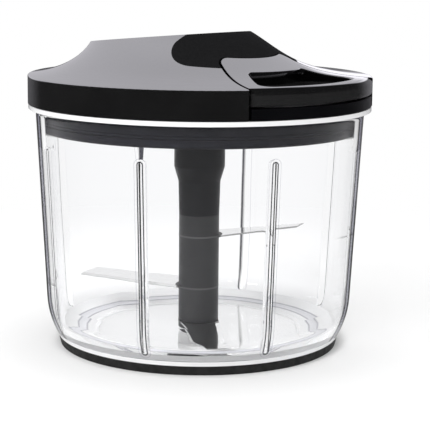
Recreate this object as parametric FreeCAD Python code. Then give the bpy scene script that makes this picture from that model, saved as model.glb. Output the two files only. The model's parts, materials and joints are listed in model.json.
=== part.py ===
import FreeCAD, Part
import math
import os

# Pull-string food chopper, in millimetres.
# The origin is on the centre line, on the surface that the chopper stands on. +Z is up.
# The pull handle faces -Y. Its cord turns a reel in the lid, and the reel turns the blades.

# Clear bowl
BOWL_WALL = 2.0
BOWL_RADIUS = 64.5
BOWL_RADIUS_HEIGHT = 24.7
BOWL_DRAFT = 0.052
BOWL_TOP = 101.0
BOWL_FLOOR_THICK = 1.8
BOWL_CORNER = 37.0
BOWL_CORNER_TOP = 20.0
BOWL_INNER_CORNER = 9.0
BOWL_MOUTH_RADIUS = BOWL_RADIUS + BOWL_DRAFT * (BOWL_TOP - BOWL_RADIUS_HEIGHT)
FLANGE_REACH = 2.83
FLANGE_RADIUS = BOWL_MOUTH_RADIUS + FLANGE_REACH
FLANGE_THICK = 1.8
FLANGE_COVE = 2.2
FLOOR_UNDERSIDE = 3.0
FLOOR_DISH_INSET = 13.1
FLOOR_DISH_DEPTH = 1.0
FLOOR_DISH_RAMP = 3.2
FOOT_LIP_INSET = 1.2
FOOT_LIP_THICK = 1.2
RIB_COUNT = 8
RIB_ANGLE = 21.5
RIB_RADIUS = 2.0
RIB_SINK = 0.5
RIB_COVER = 0.4
RIB_BOTTOM = 9.0
RIB_TOP = 83.6

# Soft ring under the bowl
BASE_RING_HEIGHT = 3.8
BASE_RING_TAPER = 0.9
BASE_RING_SOLE = 1.2

# Pivot on the bowl floor
BOSS_RADIUS = 4.6
BOSS_TOP_RADIUS = 3.9
BOSS_HEIGHT = 1.0
PIN_RADIUS = 1.5
PIN_LENGTH = 9.0
PIN_SINK = 2.2
PIN_FIT = 0.07
PIN_HEADROOM = 0.4
THRUST_WASHER_RADIUS = 3.6
THRUST_WASHER_THICK = 0.6
THRUST_GAP = 0.1

# Blade column: a stack on one hexagonal core
COLUMN_RADIUS = 8.5
COLUMN_BOTTOM = 5.6
COLUMN_FOOT_BORE = 5.0
CORE_FLATS = 9.0
CORE_TOP = 69.4
CORE_FIT = 0.1
BUSH_RADIUS = 3.0
BUSH_LENGTH = 10.0
SLEEVE_TOP = 54.2
BLADE_THICK = 0.7
BLADE_BEVEL = 2.2
BLADE_EDGE = 0.15
BLADE_HUB_PROUD = 0.05
BLADE_HUB_CLEAR = 1.5

# Each blade: height of its middle, direction, and gap from its tip to the bowl's wall. Its ground leading
# edge and its trailing edge lie at set distances from its middle line, at the root and at the tip. The tip
# leans back by the rake.
LOWER_BLADE = {
    "height": 8.4, "direction": -129.4, "gap": 9.6,
    "lead": (8.3, 4.6), "trail": (8.7, 5.0), "rake": 0.4,
}
MIDDLE_BLADE = {
    "height": 23.2, "direction": 104.6, "gap": 6.4,
    "lead": (8.2, 5.0), "trail": (12.6, 9.6), "rake": 0.0,
}
UPPER_BLADE = {
    "height": 45.2, "direction": -19.9, "gap": 8.4,
    "lead": (8.3, 2.8), "trail": (8.4, 3.6), "rake": 8.0,
}

HEAD_WAIST_RADIUS = 8.85
HEAD_WAIST_HEIGHT = 68.3
HEAD_FLARE_HEIGHT = 74.6
HEAD_RADIUS = 10.7
HEAD_TOP = 86.0
HEAD_SOCKET_DEPTH = 14.0

# Lid cover: a round rim under an off-centre bell that a sloping plane cuts flat
LID_OVERHANG = 0.2
LID_RADIUS = FLANGE_RADIUS + LID_OVERHANG
LID_BOTTOM = 101.3
LID_WALL = 2.1
LID_RIM_HEIGHT = 11.6
LID_SHELL = 2.2
# Circles of the bell: height over the rim, how far inside the rim, and how far set back from the handle
BELL_SECTIONS = [
    (-1.0, -12.5, 0.0),
    (0.0, -0.5, 0.0),
    (3.0, 18.0, 6.6),
    (8.0, 28.3, 9.3),
    (13.0, 34.4, 11.8),
    (18.5, 39.5, 17.0),
]
MESA_HEIGHT = 16.7
MESA_SLOPE = 0.0976
RIM_FILLET = 0.8
MESA_FILLET = 0.5

# Pull handle. Its sides lie a set distance outside two rays from the centre line
HANDLE_LENGTH = 38.7
HANDLE_INNER = LID_RADIUS - HANDLE_LENGTH
HANDLE_HALF_ANGLE = 30.3
HANDLE_SIDE = 3.6
HANDLE_CORNER = 4.2
HANDLE_OUTER_CORNER = 1.6
HANDLE_BROW = 2.5
HANDLE_LOWER_EDGE = 0.8
HANDLE_WALL = 2.0

# Finger slot through the handle. Its sides lie inside two wider rays
HANDLE_BACK_BAR = 10.2
HANDLE_FRONT_BAR = 6.8
SLOT_HALF_ANGLE = 36.0
SLOT_SIDE = -9.3
SLOT_INNER_CORNER = 2.5
SLOT_OUTER_CORNER = 4.5
SLOT_EDGE = 0.8

# Tray under the handle, with the finger well under the slot and a sill across the rim
HANDLE_SIDE_GAP = 1.2
HANDLE_BACK_GAP = 0.6
HANDLE_UNDER_GAP = 0.9
RECESS_FLOOR = 105.6
TRAY_WALL = 2.0
TRAY_FIT = 0.1
SILL_SETBACK = 0.3
APRON_WALL = 1.6
WELL_FLOOR = 103.4
WELL_MARGIN = 1.0

# Matte grip pad let into the bell's front, straight at its back
PAD_INSET = 31.2
PAD_BACK = 10.0
PAD_CORNER = 8.5
PAD_THICK = 1.2

# Inner lid that plugs the bowl
PLUG_BOTTOM = 90.0
PLUG_FIT = 0.3
PLUG_RADIUS = BOWL_RADIUS + BOWL_DRAFT * (PLUG_BOTTOM - BOWL_RADIUS_HEIGHT) - BOWL_WALL - PLUG_FIT
PLUG_WALL = 1.8
PLUG_FLOOR = 1.8
PLUG_CORNER = 1.6
SKIRT_WALL = 2.2
SKIRT_DEPTH = 4.5
SKIRT_FIT = 0.1
GASKET_RISE = 4.2
GASKET_HEIGHT = PLUG_BOTTOM + GASKET_RISE
GASKET_SECTION = 1.6
GASKET_PROUD = 0.2
GASKET_BACKING = 1.6
COLLAR_RADIUS = 9.6
COLLAR_DEPTH = 3.4

# Drive spindle and its two bushes
SPINDLE_RADIUS = 5.0
SPINDLE_FLATS = 8.0
SPINDLE_BOTTOM = 73.2
SPINDLE_FIT = 0.07
DRIVE_FIT = 0.2
LOWER_BUSH_WALL = 2.0
LOWER_BUSH_TOP = 93.4
LOWER_BUSH_FLANGE = 2.0
JOURNAL_PROUD = 0.2
JOURNAL_RADIUS = 2.5
JOURNAL_TOP = 121.5
UPPER_BUSH_WALL = 1.6
UPPER_BUSH_BOTTOM = 117.6
UPPER_BUSH_LENGTH = 5.0
TOP_BOSS_WALL = 2.4

# Return spring in its cup
CUP_RADIUS = 26.0
CUP_WALL = 1.4
CUP_FLOOR = 1.4
CUP_HEIGHT = 9.2
SPRING_THICK = 0.45
SPRING_WIDTH = 6.6
SPRING_TURNS = 8
SPRING_INNER = 6.2
SPRING_GAP = 0.3
CARRIER_THICK = 1.4
CARRIER_RADIUS = 26.0
CARRIER_EAR_RADIUS = 4.0
CARRIER_HOLE_GAP = 1.5
CARRIER_SCREW_CIRCLE = 30.5
CARRIER_SCREW_COUNT = 3
CARRIER_SCREW_ANGLE = 90.0
SCREW_RADIUS = 1.3
SCREW_HEAD_RADIUS = 2.6
SCREW_HEAD = 1.6
SCREW_HEAD_FILLET = 0.7
SCREW_SLOT_LENGTH = 3.0
SCREW_SLOT_WIDTH = 0.6
SCREW_SLOT_DEPTH = 0.8
SCREW_LENGTH = 7.0

# Reel and cord
REEL_BOTTOM = 103.8
REEL_FLANGE_RADIUS = 22.0
REEL_FLANGE = 1.4
REEL_DRUM_RADIUS = 16.1
REEL_GROOVE = 8.4
REEL_HUB_RADIUS = 8.0
REEL_HUB_HEIGHT = 1.0
CORD_RADIUS = 0.9
CORD_WRAPS = 4
CORD_RISE = 4.0
CORD_HEIGHT = RECESS_FLOOR + CORD_RISE
CORD_LEAD_GAP = 0.4
CORD_END_GAP = 0.2
EYELET_RADIUS = 2.6
EYELET_BORE = 1.2
EYELET_LIP = 3.4
EYELET_LIP_THICK = 0.7
KNOT_RADIUS = 1.8
CLIP_RADIUS = 5.2
CLIP_THICK = 0.6
CLIP_OPENING = 2.4

# Handle base plate and its screws
HANDLE_BASE_THICK = 1.2
HANDLE_BASE_FIT = 0.1
HANDLE_SCREW_ANGLE = 25.0
HANDLE_SCREW_LENGTH = 6.0
HANDLE_BOSS_RADIUS = 2.4

# Faces that lie closer together than this count as one
FACE_TOLERANCE = 0.0005

FULL_TURN = 360.0
TALL = 200.0
CENTRE = FreeCAD.Vector(0, 0, 0)
UP = FreeCAD.Vector(0, 0, 1)


def vec(x, y, z=0.0):
    return FreeCAD.Vector(x, y, z)


def moved(shape, x=0.0, y=0.0, z=0.0):
    copy = shape.copy()
    copy.translate(vec(x, y, z))
    return copy


def turned(shape, degrees):
    copy = shape.copy()
    copy.rotate(CENTRE, UP, degrees)
    return copy


def tube(outer, inner, bottom, top):
    """A round tube on the centre line, or a plain rod where inner is 0."""
    body = Part.makeCylinder(outer, top - bottom, vec(0, 0, bottom))
    if inner > 0:
        body = body.cut(Part.makeCylinder(inner, top - bottom + 2, vec(0, 0, bottom - 1)))
    return body


def hexagon(flats, bottom, top):
    """A hexagonal bar on the centre line, flats apart by the given size."""
    corner = flats / math.sqrt(3)
    points = [
        vec(corner * math.cos(math.radians(60 * side)), corner * math.sin(math.radians(60 * side)), bottom)
        for side in range(6)
    ]
    face = Part.Face(Part.makePolygon(points + [points[0]]))
    return face.extrude(vec(0, 0, top - bottom))


def revolved(edges):
    """Turn a closed outline in the XZ plane about the centre line."""
    face = Part.Face(Part.Wire(Part.__sortEdges__(edges)))
    return face.revolve(CENTRE, UP, FULL_TURN)


def outline(*points):
    """Straight edges through (radius, height) points, closed."""
    corners = [vec(radius, 0, height) for radius, height in points]
    return [Part.makeLine(a, b) for a, b in zip(corners, corners[1:] + corners[:1])]


def ring(*points):
    return revolved(outline(*points))


def arc(start, middle, end):
    """An arc in the XZ plane through three (radius, height) points."""
    a, b, c = [vec(radius, 0, height) for radius, height in (start, middle, end)]
    return Part.Arc(a, b, c).toShape()


def line(start, end):
    return Part.makeLine(vec(start[0], 0, start[1]), vec(end[0], 0, end[1]))


def around_handle(radius, degrees, height=0.0):
    """A point at a radius, and at an angle from the handle's middle line."""
    angle = math.radians(degrees)
    return vec(radius * math.sin(angle), -radius * math.cos(angle), height)


def sector(inner, outer, half_angle, bottom, top, side=0.0):
    """A slice of a ring about the handle's middle line. Its sides lie a set distance outside the rays."""
    inner_angle = half_angle + math.degrees(math.asin(side / inner))
    outer_angle = half_angle + math.degrees(math.asin(side / outer))
    near_left = around_handle(inner, -inner_angle, bottom)
    near_right = around_handle(inner, inner_angle, bottom)
    far_left = around_handle(outer, -outer_angle, bottom)
    far_right = around_handle(outer, outer_angle, bottom)
    edges = [
        Part.Arc(near_left, around_handle(inner, 0, bottom), near_right).toShape(),
        Part.makeLine(near_right, far_right),
        Part.Arc(far_right, around_handle(outer, 0, bottom), far_left).toShape(),
        Part.makeLine(far_left, near_left),
    ]
    return Part.Face(Part.Wire(edges)).extrude(vec(0, 0, top - bottom))


def round_upright_edges(shape, radius, nearest=0.0, farthest=TALL):
    """Fillet the upright straight edges that lie between two distances from the centre line."""
    chosen = []
    for edge in shape.Edges:
        if not isinstance(edge.Curve, Part.Line):
            continue
        start, end = [vertex.Point for vertex in edge.Vertexes]
        upright = math.hypot(end.x - start.x, end.y - start.y) < 1e-6
        if upright and nearest < math.hypot(start.x, start.y) < farthest:
            chosen.append(edge)
    return shape.makeFillet(radius, chosen)


# Bowl

def wall_radius(height):
    """Outer radius of the tapering bowl wall."""
    return BOWL_RADIUS + BOWL_DRAFT * (height - BOWL_RADIUS_HEIGHT)


def inner_wall_radius(height):
    return wall_radius(height) - BOWL_WALL * math.hypot(1, BOWL_DRAFT)


def corner_point(height):
    """A point on the large outer arc that tucks the wall in at the foot."""
    slant = math.hypot(1, BOWL_DRAFT)
    centre_radius = wall_radius(BOWL_CORNER_TOP) - BOWL_CORNER / slant
    centre_height = BOWL_CORNER_TOP + BOWL_CORNER * BOWL_DRAFT / slant
    reach = math.sqrt(BOWL_CORNER ** 2 - (height - centre_height) ** 2)
    return centre_radius + reach, height


def floor_top():
    return FLOOR_UNDERSIDE + BOWL_FLOOR_THICK


def floor_rim_height():
    return floor_top() + FLOOR_DISH_DEPTH


def foot_radius():
    """Outer radius of the bowl at the top of its soft ring."""
    return corner_point(BASE_RING_HEIGHT)[0]


def lip_outer():
    return foot_radius() - FOOT_LIP_INSET


def lip_inner():
    return lip_outer() - FOOT_LIP_THICK


def bowl_profile():
    """Wall, flange, foot lip and dished floor, outside first and then inside."""
    foot = corner_point(BASE_RING_HEIGHT)
    arc_middle = corner_point((BASE_RING_HEIGHT + BOWL_CORNER_TOP) / 2)
    wall_foot = (wall_radius(BOWL_CORNER_TOP), BOWL_CORNER_TOP)
    flange_under = BOWL_TOP - FLANGE_THICK
    cove_foot = (wall_radius(flange_under - FLANGE_COVE), flange_under - FLANGE_COVE)
    cove_top = (cove_foot[0] + FLANGE_COVE, flange_under)
    bow = FLANGE_COVE * (1 - math.sqrt(0.5))
    cove_middle = (cove_foot[0] + bow, flange_under - bow)
    rim_height = floor_rim_height()
    bend = BOWL_INNER_CORNER
    inner_foot = (inner_wall_radius(rim_height + bend), rim_height + bend)
    floor_edge = (inner_foot[0] - bend, rim_height)
    inner_middle = (floor_edge[0] + bend * math.sqrt(0.5), rim_height + bend * (1 - math.sqrt(0.5)))
    dish_radius = foot_radius() - FLOOR_DISH_INSET
    ramp_top = (dish_radius + FLOOR_DISH_RAMP, rim_height)
    ramp_foot = (dish_radius, floor_top())
    lip_bottom = BASE_RING_SOLE
    return [
        arc(foot, arc_middle, wall_foot),
        line(wall_foot, cove_foot),
        arc(cove_foot, cove_middle, cove_top),
        line(cove_top, (FLANGE_RADIUS, flange_under)),
        line((FLANGE_RADIUS, flange_under), (FLANGE_RADIUS, BOWL_TOP)),
        line((FLANGE_RADIUS, BOWL_TOP), (inner_wall_radius(BOWL_TOP), BOWL_TOP)),
        line((inner_wall_radius(BOWL_TOP), BOWL_TOP), inner_foot),
        arc(inner_foot, inner_middle, floor_edge),
        line(floor_edge, ramp_top),
        line(ramp_top, ramp_foot),
        line(ramp_foot, (0, floor_top())),
        line((0, floor_top()), (0, FLOOR_UNDERSIDE)),
        line((0, FLOOR_UNDERSIDE), (lip_inner(), FLOOR_UNDERSIDE)),
        line((lip_inner(), FLOOR_UNDERSIDE), (lip_inner(), lip_bottom)),
        line((lip_inner(), lip_bottom), (lip_outer(), lip_bottom)),
        line((lip_outer(), lip_bottom), (lip_outer(), BASE_RING_HEIGHT)),
        line((lip_outer(), BASE_RING_HEIGHT), foot),
    ]


def rib_room():
    """The room for the ribs: everything that lies deeper in the bowl than their cover of wall."""
    foot, middle = [
        (corner_point(height)[0] - RIB_COVER, height)
        for height in (BASE_RING_HEIGHT, (BASE_RING_HEIGHT + BOWL_CORNER_TOP) / 2)
    ]
    wall_foot = (wall_radius(BOWL_CORNER_TOP) - RIB_COVER, BOWL_CORNER_TOP)
    mouth = (wall_radius(BOWL_TOP) - RIB_COVER, BOWL_TOP)
    return revolved([
        arc(foot, middle, wall_foot),
        line(wall_foot, mouth),
        line(mouth, (0, BOWL_TOP)),
        line((0, BOWL_TOP), (0, BASE_RING_HEIGHT)),
        line((0, BASE_RING_HEIGHT), foot),
    ])


def bowl_rib():
    """A half-round rib that follows the slope of the inner wall, rounded off at both ends."""
    low = vec(inner_wall_radius(RIB_BOTTOM) - RIB_SINK, 0, RIB_BOTTOM)
    high = vec(inner_wall_radius(RIB_TOP) - RIB_SINK, 0, RIB_TOP)
    run = high - low
    bar = Part.makeCylinder(RIB_RADIUS, run.Length, low, run)
    rib = bar.fuse([Part.makeSphere(RIB_RADIUS, end) for end in (low, high)]).removeSplitter()
    return rib.common(rib_room())


def make_bowl():
    shell = revolved(bowl_profile())
    boss = ring(
        (0, FLOOR_UNDERSIDE), (BOSS_RADIUS, floor_top()),
        (BOSS_TOP_RADIUS, floor_top() + BOSS_HEIGHT), (0, floor_top() + BOSS_HEIGHT),
    )
    rib = bowl_rib()
    ribs = [turned(rib, RIB_ANGLE + FULL_TURN / RIB_COUNT * number) for number in range(RIB_COUNT)]
    bowl = shell.fuse([boss] + ribs)
    return bowl.cut(pin_rod())


def make_base_ring():
    """A soft ring stretched over the bowl's foot lip, with a sole turned in under it."""
    return ring(
        (lip_inner(), 0), (foot_radius() - BASE_RING_TAPER, 0), (foot_radius(), BASE_RING_HEIGHT),
        (lip_outer(), BASE_RING_HEIGHT), (lip_outer(), BASE_RING_SOLE), (lip_inner(), BASE_RING_SOLE),
    )


def boss_top():
    return floor_top() + BOSS_HEIGHT


def pin_rod():
    rod = tube(PIN_RADIUS, 0, boss_top() - PIN_SINK, boss_top() + PIN_LENGTH - PIN_RADIUS)
    tip = Part.makeSphere(PIN_RADIUS, vec(0, 0, boss_top() + PIN_LENGTH - PIN_RADIUS))
    return rod.fuse(tip).removeSplitter()


def make_thrust_washer():
    """A low-friction washer on the boss, under the turning bush."""
    bottom = boss_top() + THRUST_GAP
    return tube(THRUST_WASHER_RADIUS, PIN_RADIUS + PIN_FIT, bottom, bottom + THRUST_WASHER_THICK)


# Blade column

def bush_bottom():
    return boss_top() + THRUST_WASHER_THICK + 2 * THRUST_GAP


def bush_top():
    return bush_bottom() + BUSH_LENGTH


def make_foot_bush():
    """A blind bush pressed into the core. The pivot pin runs in it."""
    bore = tube(PIN_RADIUS + PIN_FIT, 0, bush_bottom() - 1, boss_top() + PIN_LENGTH + PIN_HEADROOM)
    return tube(BUSH_RADIUS, 0, bush_bottom(), bush_top()).cut(bore)


def make_column_core():
    """The hexagonal core that every sleeve and blade slides over."""
    core = hexagon(CORE_FLATS, bush_bottom(), CORE_TOP)
    return core.cut(tube(BUSH_RADIUS, 0, bush_bottom() - 1, bush_top()))


def core_hole(bottom, top):
    return hexagon(CORE_FLATS + CORE_FIT, bottom - 1, top + 1)


def make_column_foot():
    """A cap pressed on the core under the lowest blade, hollow underneath to clear the boss."""
    foot = tube(COLUMN_RADIUS, 0, COLUMN_BOTTOM, blade_bottom(LOWER_BLADE))
    hollow = tube(COLUMN_FOOT_BORE, 0, COLUMN_BOTTOM - 1, bush_bottom())
    return foot.cut([hollow, hexagon(CORE_FLATS, bush_bottom() - 1, SLEEVE_TOP)])


def blade_bottom(blade):
    return blade["height"] - BLADE_THICK / 2


def blade_top(blade):
    return blade["height"] + BLADE_THICK / 2


def make_sleeve(bottom, top):
    return tube(COLUMN_RADIUS, 0, bottom, top).cut(core_hole(bottom, top))


def make_column_head():
    """The flared top sleeve, with the core's hole below and the drive socket above."""
    body = ring(
        (0, SLEEVE_TOP), (COLUMN_RADIUS, SLEEVE_TOP), (HEAD_WAIST_RADIUS, HEAD_WAIST_HEIGHT),
        (HEAD_RADIUS, HEAD_FLARE_HEIGHT), (HEAD_RADIUS, HEAD_TOP), (0, HEAD_TOP),
    )
    lower = hexagon(CORE_FLATS + CORE_FIT, SLEEVE_TOP - 1, CORE_TOP + CORE_FIT)
    socket = hexagon(SPINDLE_FLATS + 2 * DRIVE_FIT, HEAD_TOP - HEAD_SOCKET_DEPTH, HEAD_TOP + 1)
    return body.cut(lower).cut(socket)


def make_blade(blade):
    """A pressed steel blade with a round hub. Its leading edge is ground to a bevel."""
    bottom = blade_bottom(blade)
    reach = inner_wall_radius(blade["height"]) - blade["gap"]
    hub = tube(COLUMN_RADIUS + BLADE_HUB_PROUD, 0, bottom, bottom + BLADE_THICK)
    lead_root, lead_tip = blade["lead"]
    trail_root, trail_tip = blade["trail"]
    points = [
        vec(0, -trail_root, bottom),
        vec(reach - blade["rake"], -trail_tip, bottom),
        vec(reach, lead_tip, bottom),
        vec(0, lead_root, bottom),
    ]
    plate = Part.Face(Part.makePolygon(points + [points[0]])).extrude(vec(0, 0, BLADE_THICK))
    along = points[2] - points[3]
    corners = [
        vec(0, -BLADE_BEVEL, BLADE_THICK), vec(0, 0, BLADE_EDGE), vec(0, 1, BLADE_EDGE),
        vec(0, 1, BLADE_THICK + 1), vec(0, -BLADE_BEVEL, BLADE_THICK + 1),
    ]
    bevel = Part.Face(Part.makePolygon(corners + [corners[0]])).extrude(vec(along.Length + 1, 0, 0))
    bevel.rotate(CENTRE, UP, math.degrees(math.atan2(along.y, along.x)))
    bevel.translate(points[3])
    around_hub = tube(COLUMN_RADIUS + BLADE_HUB_CLEAR, 0, bottom - 1, blade_top(blade) + 2)
    steel = turned(hub.fuse(plate.cut(bevel.cut(around_hub))), blade["direction"])
    return steel.cut(core_hole(bottom, blade_top(blade))).removeSplitter()


# Lid cover

def rim_top():
    return LID_BOTTOM + LID_RIM_HEIGHT


def bell():
    """Circles of falling size, each set back from the handle, joined by one smooth skin."""
    wires = []
    for height, inset, setback in BELL_SECTIONS:
        circle = Part.makeCircle(LID_RADIUS - inset, vec(0, setback, rim_top() + height), UP)
        wires.append(Part.Wire(circle))
    return Part.makeLoft(wires, True, False)


def below_mesa():
    """Everything under the sloping plane that cuts the bell flat."""
    level = rim_top() + MESA_HEIGHT
    far = 2 * LID_RADIUS
    points = [
        vec(-far, -far, 0), vec(-far, far, 0),
        vec(-far, far, level - MESA_SLOPE * far), vec(-far, -far, level + MESA_SLOPE * far),
    ]
    return Part.Face(Part.makePolygon(points + [points[0]])).extrude(vec(2 * far, 0, 0))


def sharp_lid_body():
    """The lid's outer form as one solid: the rim's cylinder under the bell."""
    under_bell = tube(2 * LID_RADIUS, 0, LID_BOTTOM, rim_top() + BELL_SECTIONS[0][0])
    stack = under_bell.fuse(bell())
    form = stack.common(tube(LID_RADIUS, 0, LID_BOTTOM, TALL)).common(below_mesa())
    return form.removeSplitter()


def edges_between(shape, low, high):
    """The edges that run round the lid with both their ends between two heights."""
    chosen = []
    for edge in shape.Edges:
        box = edge.BoundBox
        if low < box.ZMin and box.ZMax < high and box.XLength > COLLAR_RADIUS:
            chosen.append(edge)
    return chosen


def half_way_up():
    return rim_top() + MESA_HEIGHT / 2


def round_rim(body, radius):
    return body.makeFillet(radius, edges_between(body, rim_top() - LID_RIM_HEIGHT / 2, half_way_up()))


def softened(body):
    """The outer form with its rim and the edge of its flat top softly rounded."""
    body = round_rim(body, RIM_FILLET)
    return body.makeFillet(MESA_FILLET, edges_between(body, half_way_up(), TALL))


def recess(grow=0.0, bottom=RECESS_FLOOR):
    """The space cut in the lid for the handle, or a block larger than it by a set distance all round."""
    block = sector(
        HANDLE_INNER - HANDLE_BACK_GAP - grow, 2 * LID_RADIUS, HANDLE_HALF_ANGLE,
        bottom, TALL, HANDLE_SIDE + HANDLE_SIDE_GAP + grow,
    )
    return round_upright_edges(block, HANDLE_CORNER + HANDLE_SIDE_GAP + grow, 0, LID_RADIUS)


def slot_inner():
    return HANDLE_INNER + HANDLE_BACK_BAR


def slot_outer():
    return LID_RADIUS - HANDLE_FRONT_BAR


def slot_prism(grow, bottom, top=TALL):
    """The finger slot's plan, drawn out by a set distance all round."""
    block = sector(slot_inner() - grow, slot_outer() + grow, SLOT_HALF_ANGLE, bottom, top, SLOT_SIDE + grow)
    middle = (slot_inner() + slot_outer()) / 2
    block = round_upright_edges(block, SLOT_INNER_CORNER + grow, 0, middle)
    return round_upright_edges(block, SLOT_OUTER_CORNER + grow, middle)


def well(grow, bottom):
    """The finger well under the handle's slot."""
    return slot_prism(WELL_MARGIN + grow, bottom, RECESS_FLOOR + 1)


def pad_prism():
    """The pad's plan: a slice off the front of a circle, with round corners."""
    radius = LID_RADIUS - PAD_INSET
    half_chord = math.sqrt(radius ** 2 - PAD_BACK ** 2)
    left = vec(-half_chord, -PAD_BACK, LID_BOTTOM)
    right = vec(half_chord, -PAD_BACK, LID_BOTTOM)
    edges = [Part.Arc(left, vec(0, -radius, LID_BOTTOM), right).toShape(), Part.makeLine(right, left)]
    return round_upright_edges(Part.Face(Part.Wire(edges)).extrude(vec(0, 0, TALL)), PAD_CORNER)


def make_grip_pad(body):
    """A thin matte skin over the flank and the edge of the flat top, cut back around the handle."""
    skin = body.cut(moved(body, z=-PAD_THICK))
    return skin.common(pad_prism()).cut(recess())


def skirt_outer():
    return PLUG_RADIUS - PLUG_WALL - SKIRT_FIT


def eyelet_hole():
    return cord_rod(EYELET_RADIUS, -REEL_FLANGE_RADIUS, -HANDLE_INNER)


def upper_bush_radius():
    return JOURNAL_RADIUS + SPINDLE_FIT + UPPER_BUSH_WALL


def lid_inside(sharp_body, gap=0.0):
    """The room inside the cover's shell, drawn in by a gap."""
    return moved(sharp_body, z=-LID_SHELL - gap).common(tube(LID_RADIUS - LID_WALL - gap, 0, 0, TALL))


def tray_block(grow):
    """The tray's outer form without its sill, drawn out by a set distance."""
    skin = TRAY_WALL + grow
    return recess(skin, RECESS_FLOOR - skin).fuse(well(skin, WELL_FLOOR - skin))


def make_lid_cover(body, sharp_body, pad):
    """The glossy cover: a shell open for the handle, a skirt for the plug and a boss for the spindle."""
    inside = lid_inside(sharp_body)
    shell = body.cut(inside)
    skirt_inner = skirt_outer() - SKIRT_WALL
    skirt = tube(skirt_outer(), skirt_inner, LID_BOTTOM, TALL).common(body)
    skirt = skirt.fuse(tube(skirt_outer(), skirt_inner, BOWL_TOP - SKIRT_DEPTH, LID_BOTTOM))
    boss = tube(upper_bush_radius() + TOP_BOSS_WALL, 0, UPPER_BUSH_BOTTOM, TALL).common(body)
    cover = shell.fuse([skirt, boss])
    tray_room = tray_block(TRAY_FIT).common(inside)
    behind_sill = tube(LID_RADIUS - LID_WALL - TRAY_FIT, 0, LID_BOTTOM - 2, RECESS_FLOOR)
    notch = recess(0, LID_BOTTOM - 1).cut(behind_sill)
    bush_seat = tube(upper_bush_radius(), 0, UPPER_BUSH_BOTTOM - 1, UPPER_BUSH_BOTTOM + UPPER_BUSH_LENGTH)
    return cover.cut([recess(), notch, tray_room, bush_seat, pad])


def make_lid_tray(sharp_body):
    """The dark tray that the handle lies in. Its sill crosses the rim under the handle's front."""
    outer = LID_RADIUS - LID_WALL - TRAY_FIT
    inner = outer - APRON_WALL
    sill_front = LID_RADIUS - SILL_SETBACK
    apron_side = HANDLE_SIDE + HANDLE_SIDE_GAP + TRAY_WALL
    tray = tray_block(0).common(lid_inside(sharp_body, TRAY_FIT))
    apron = sector(inner, outer, HANDLE_HALF_ANGLE, LID_BOTTOM, RECESS_FLOOR, apron_side)
    sill = sector(inner, sill_front, HANDLE_HALF_ANGLE, LID_BOTTOM, RECESS_FLOOR, HANDLE_SIDE)
    return tray.fuse([apron, sill]).cut([recess(), well(0, WELL_FLOOR), eyelet_hole()]).removeSplitter()


# Inner lid

def make_lid_plug():
    """A dish that plugs the bowl's mouth, with a collar for the spindle bush and posts for the cup."""
    bend = PLUG_CORNER
    dip = bend * (1 - math.sqrt(0.5))
    top = BOWL_TOP
    inner = PLUG_RADIUS - PLUG_WALL
    floor = PLUG_BOTTOM + PLUG_FLOOR
    dish = revolved([
        line((0, PLUG_BOTTOM), (PLUG_RADIUS - bend, PLUG_BOTTOM)),
        arc((PLUG_RADIUS - bend, PLUG_BOTTOM), (PLUG_RADIUS - dip, PLUG_BOTTOM + dip),
            (PLUG_RADIUS, PLUG_BOTTOM + bend)),
        line((PLUG_RADIUS, PLUG_BOTTOM + bend), (PLUG_RADIUS, top)),
        line((PLUG_RADIUS, top), (inner, top)),
        line((inner, top), (inner, floor)),
        line((inner, floor), (0, floor)),
        line((0, floor), (0, PLUG_BOTTOM)),
    ])
    collar = tube(COLLAR_RADIUS, 0, PLUG_BOTTOM - COLLAR_DEPTH, floor)
    posts = [screw_post(number) for number in range(CARRIER_SCREW_COUNT)]
    plug = dish.fuse([collar] + posts)
    groove = tube(PLUG_RADIUS + 1, PLUG_RADIUS - GASKET_SECTION + GASKET_PROUD,
                  GASKET_HEIGHT - GASKET_SECTION / 2, GASKET_HEIGHT + GASKET_SECTION / 2)
    bush_seat = tube(lower_bush_radius(), 0, PLUG_BOTTOM - COLLAR_DEPTH - 1, TALL)
    screw_room = [screw_hole(number) for number in range(CARRIER_SCREW_COUNT)]
    backing = tube(inner, inner - GASKET_BACKING, floor, GASKET_HEIGHT + GASKET_SECTION)
    return plug.fuse(backing).cut([groove, bush_seat] + screw_room)


def make_lid_gasket():
    """A sealing ring in the plug's groove."""
    outer = PLUG_RADIUS + GASKET_PROUD
    inner = outer - GASKET_SECTION
    half = GASKET_SECTION / 2
    low = GASKET_HEIGHT - half
    high = GASKET_HEIGHT + half
    return revolved([
        line((inner, low), (outer - half, low)),
        arc((outer - half, low), (outer, GASKET_HEIGHT), (outer - half, high)),
        line((outer - half, high), (inner, high)),
        line((inner, high), (inner, low)),
    ])


def lower_bush_radius():
    return SPINDLE_RADIUS + SPINDLE_FIT + LOWER_BUSH_WALL


def make_lower_bush():
    """A flanged bush in the plug's collar."""
    bottom = PLUG_BOTTOM - COLLAR_DEPTH
    floor = PLUG_BOTTOM + PLUG_FLOOR
    wall = lower_bush_radius()
    bore = SPINDLE_RADIUS + SPINDLE_FIT
    return ring(
        (bore, bottom), (wall, bottom), (wall, floor), (wall + LOWER_BUSH_FLANGE, floor),
        (wall + LOWER_BUSH_FLANGE, LOWER_BUSH_TOP), (bore, LOWER_BUSH_TOP),
    )


def make_upper_bush():
    return tube(upper_bush_radius(), JOURNAL_RADIUS + SPINDLE_FIT,
                UPPER_BUSH_BOTTOM, UPPER_BUSH_BOTTOM + UPPER_BUSH_LENGTH)


# Spring cup and carrier

def cup_bottom():
    return PLUG_BOTTOM + PLUG_FLOOR


def cup_top():
    return cup_bottom() + CUP_HEIGHT


def screw_place(number):
    angle = math.radians(CARRIER_SCREW_ANGLE + FULL_TURN / CARRIER_SCREW_COUNT * number)
    return CARRIER_SCREW_CIRCLE * math.cos(angle), CARRIER_SCREW_CIRCLE * math.sin(angle)


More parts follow.
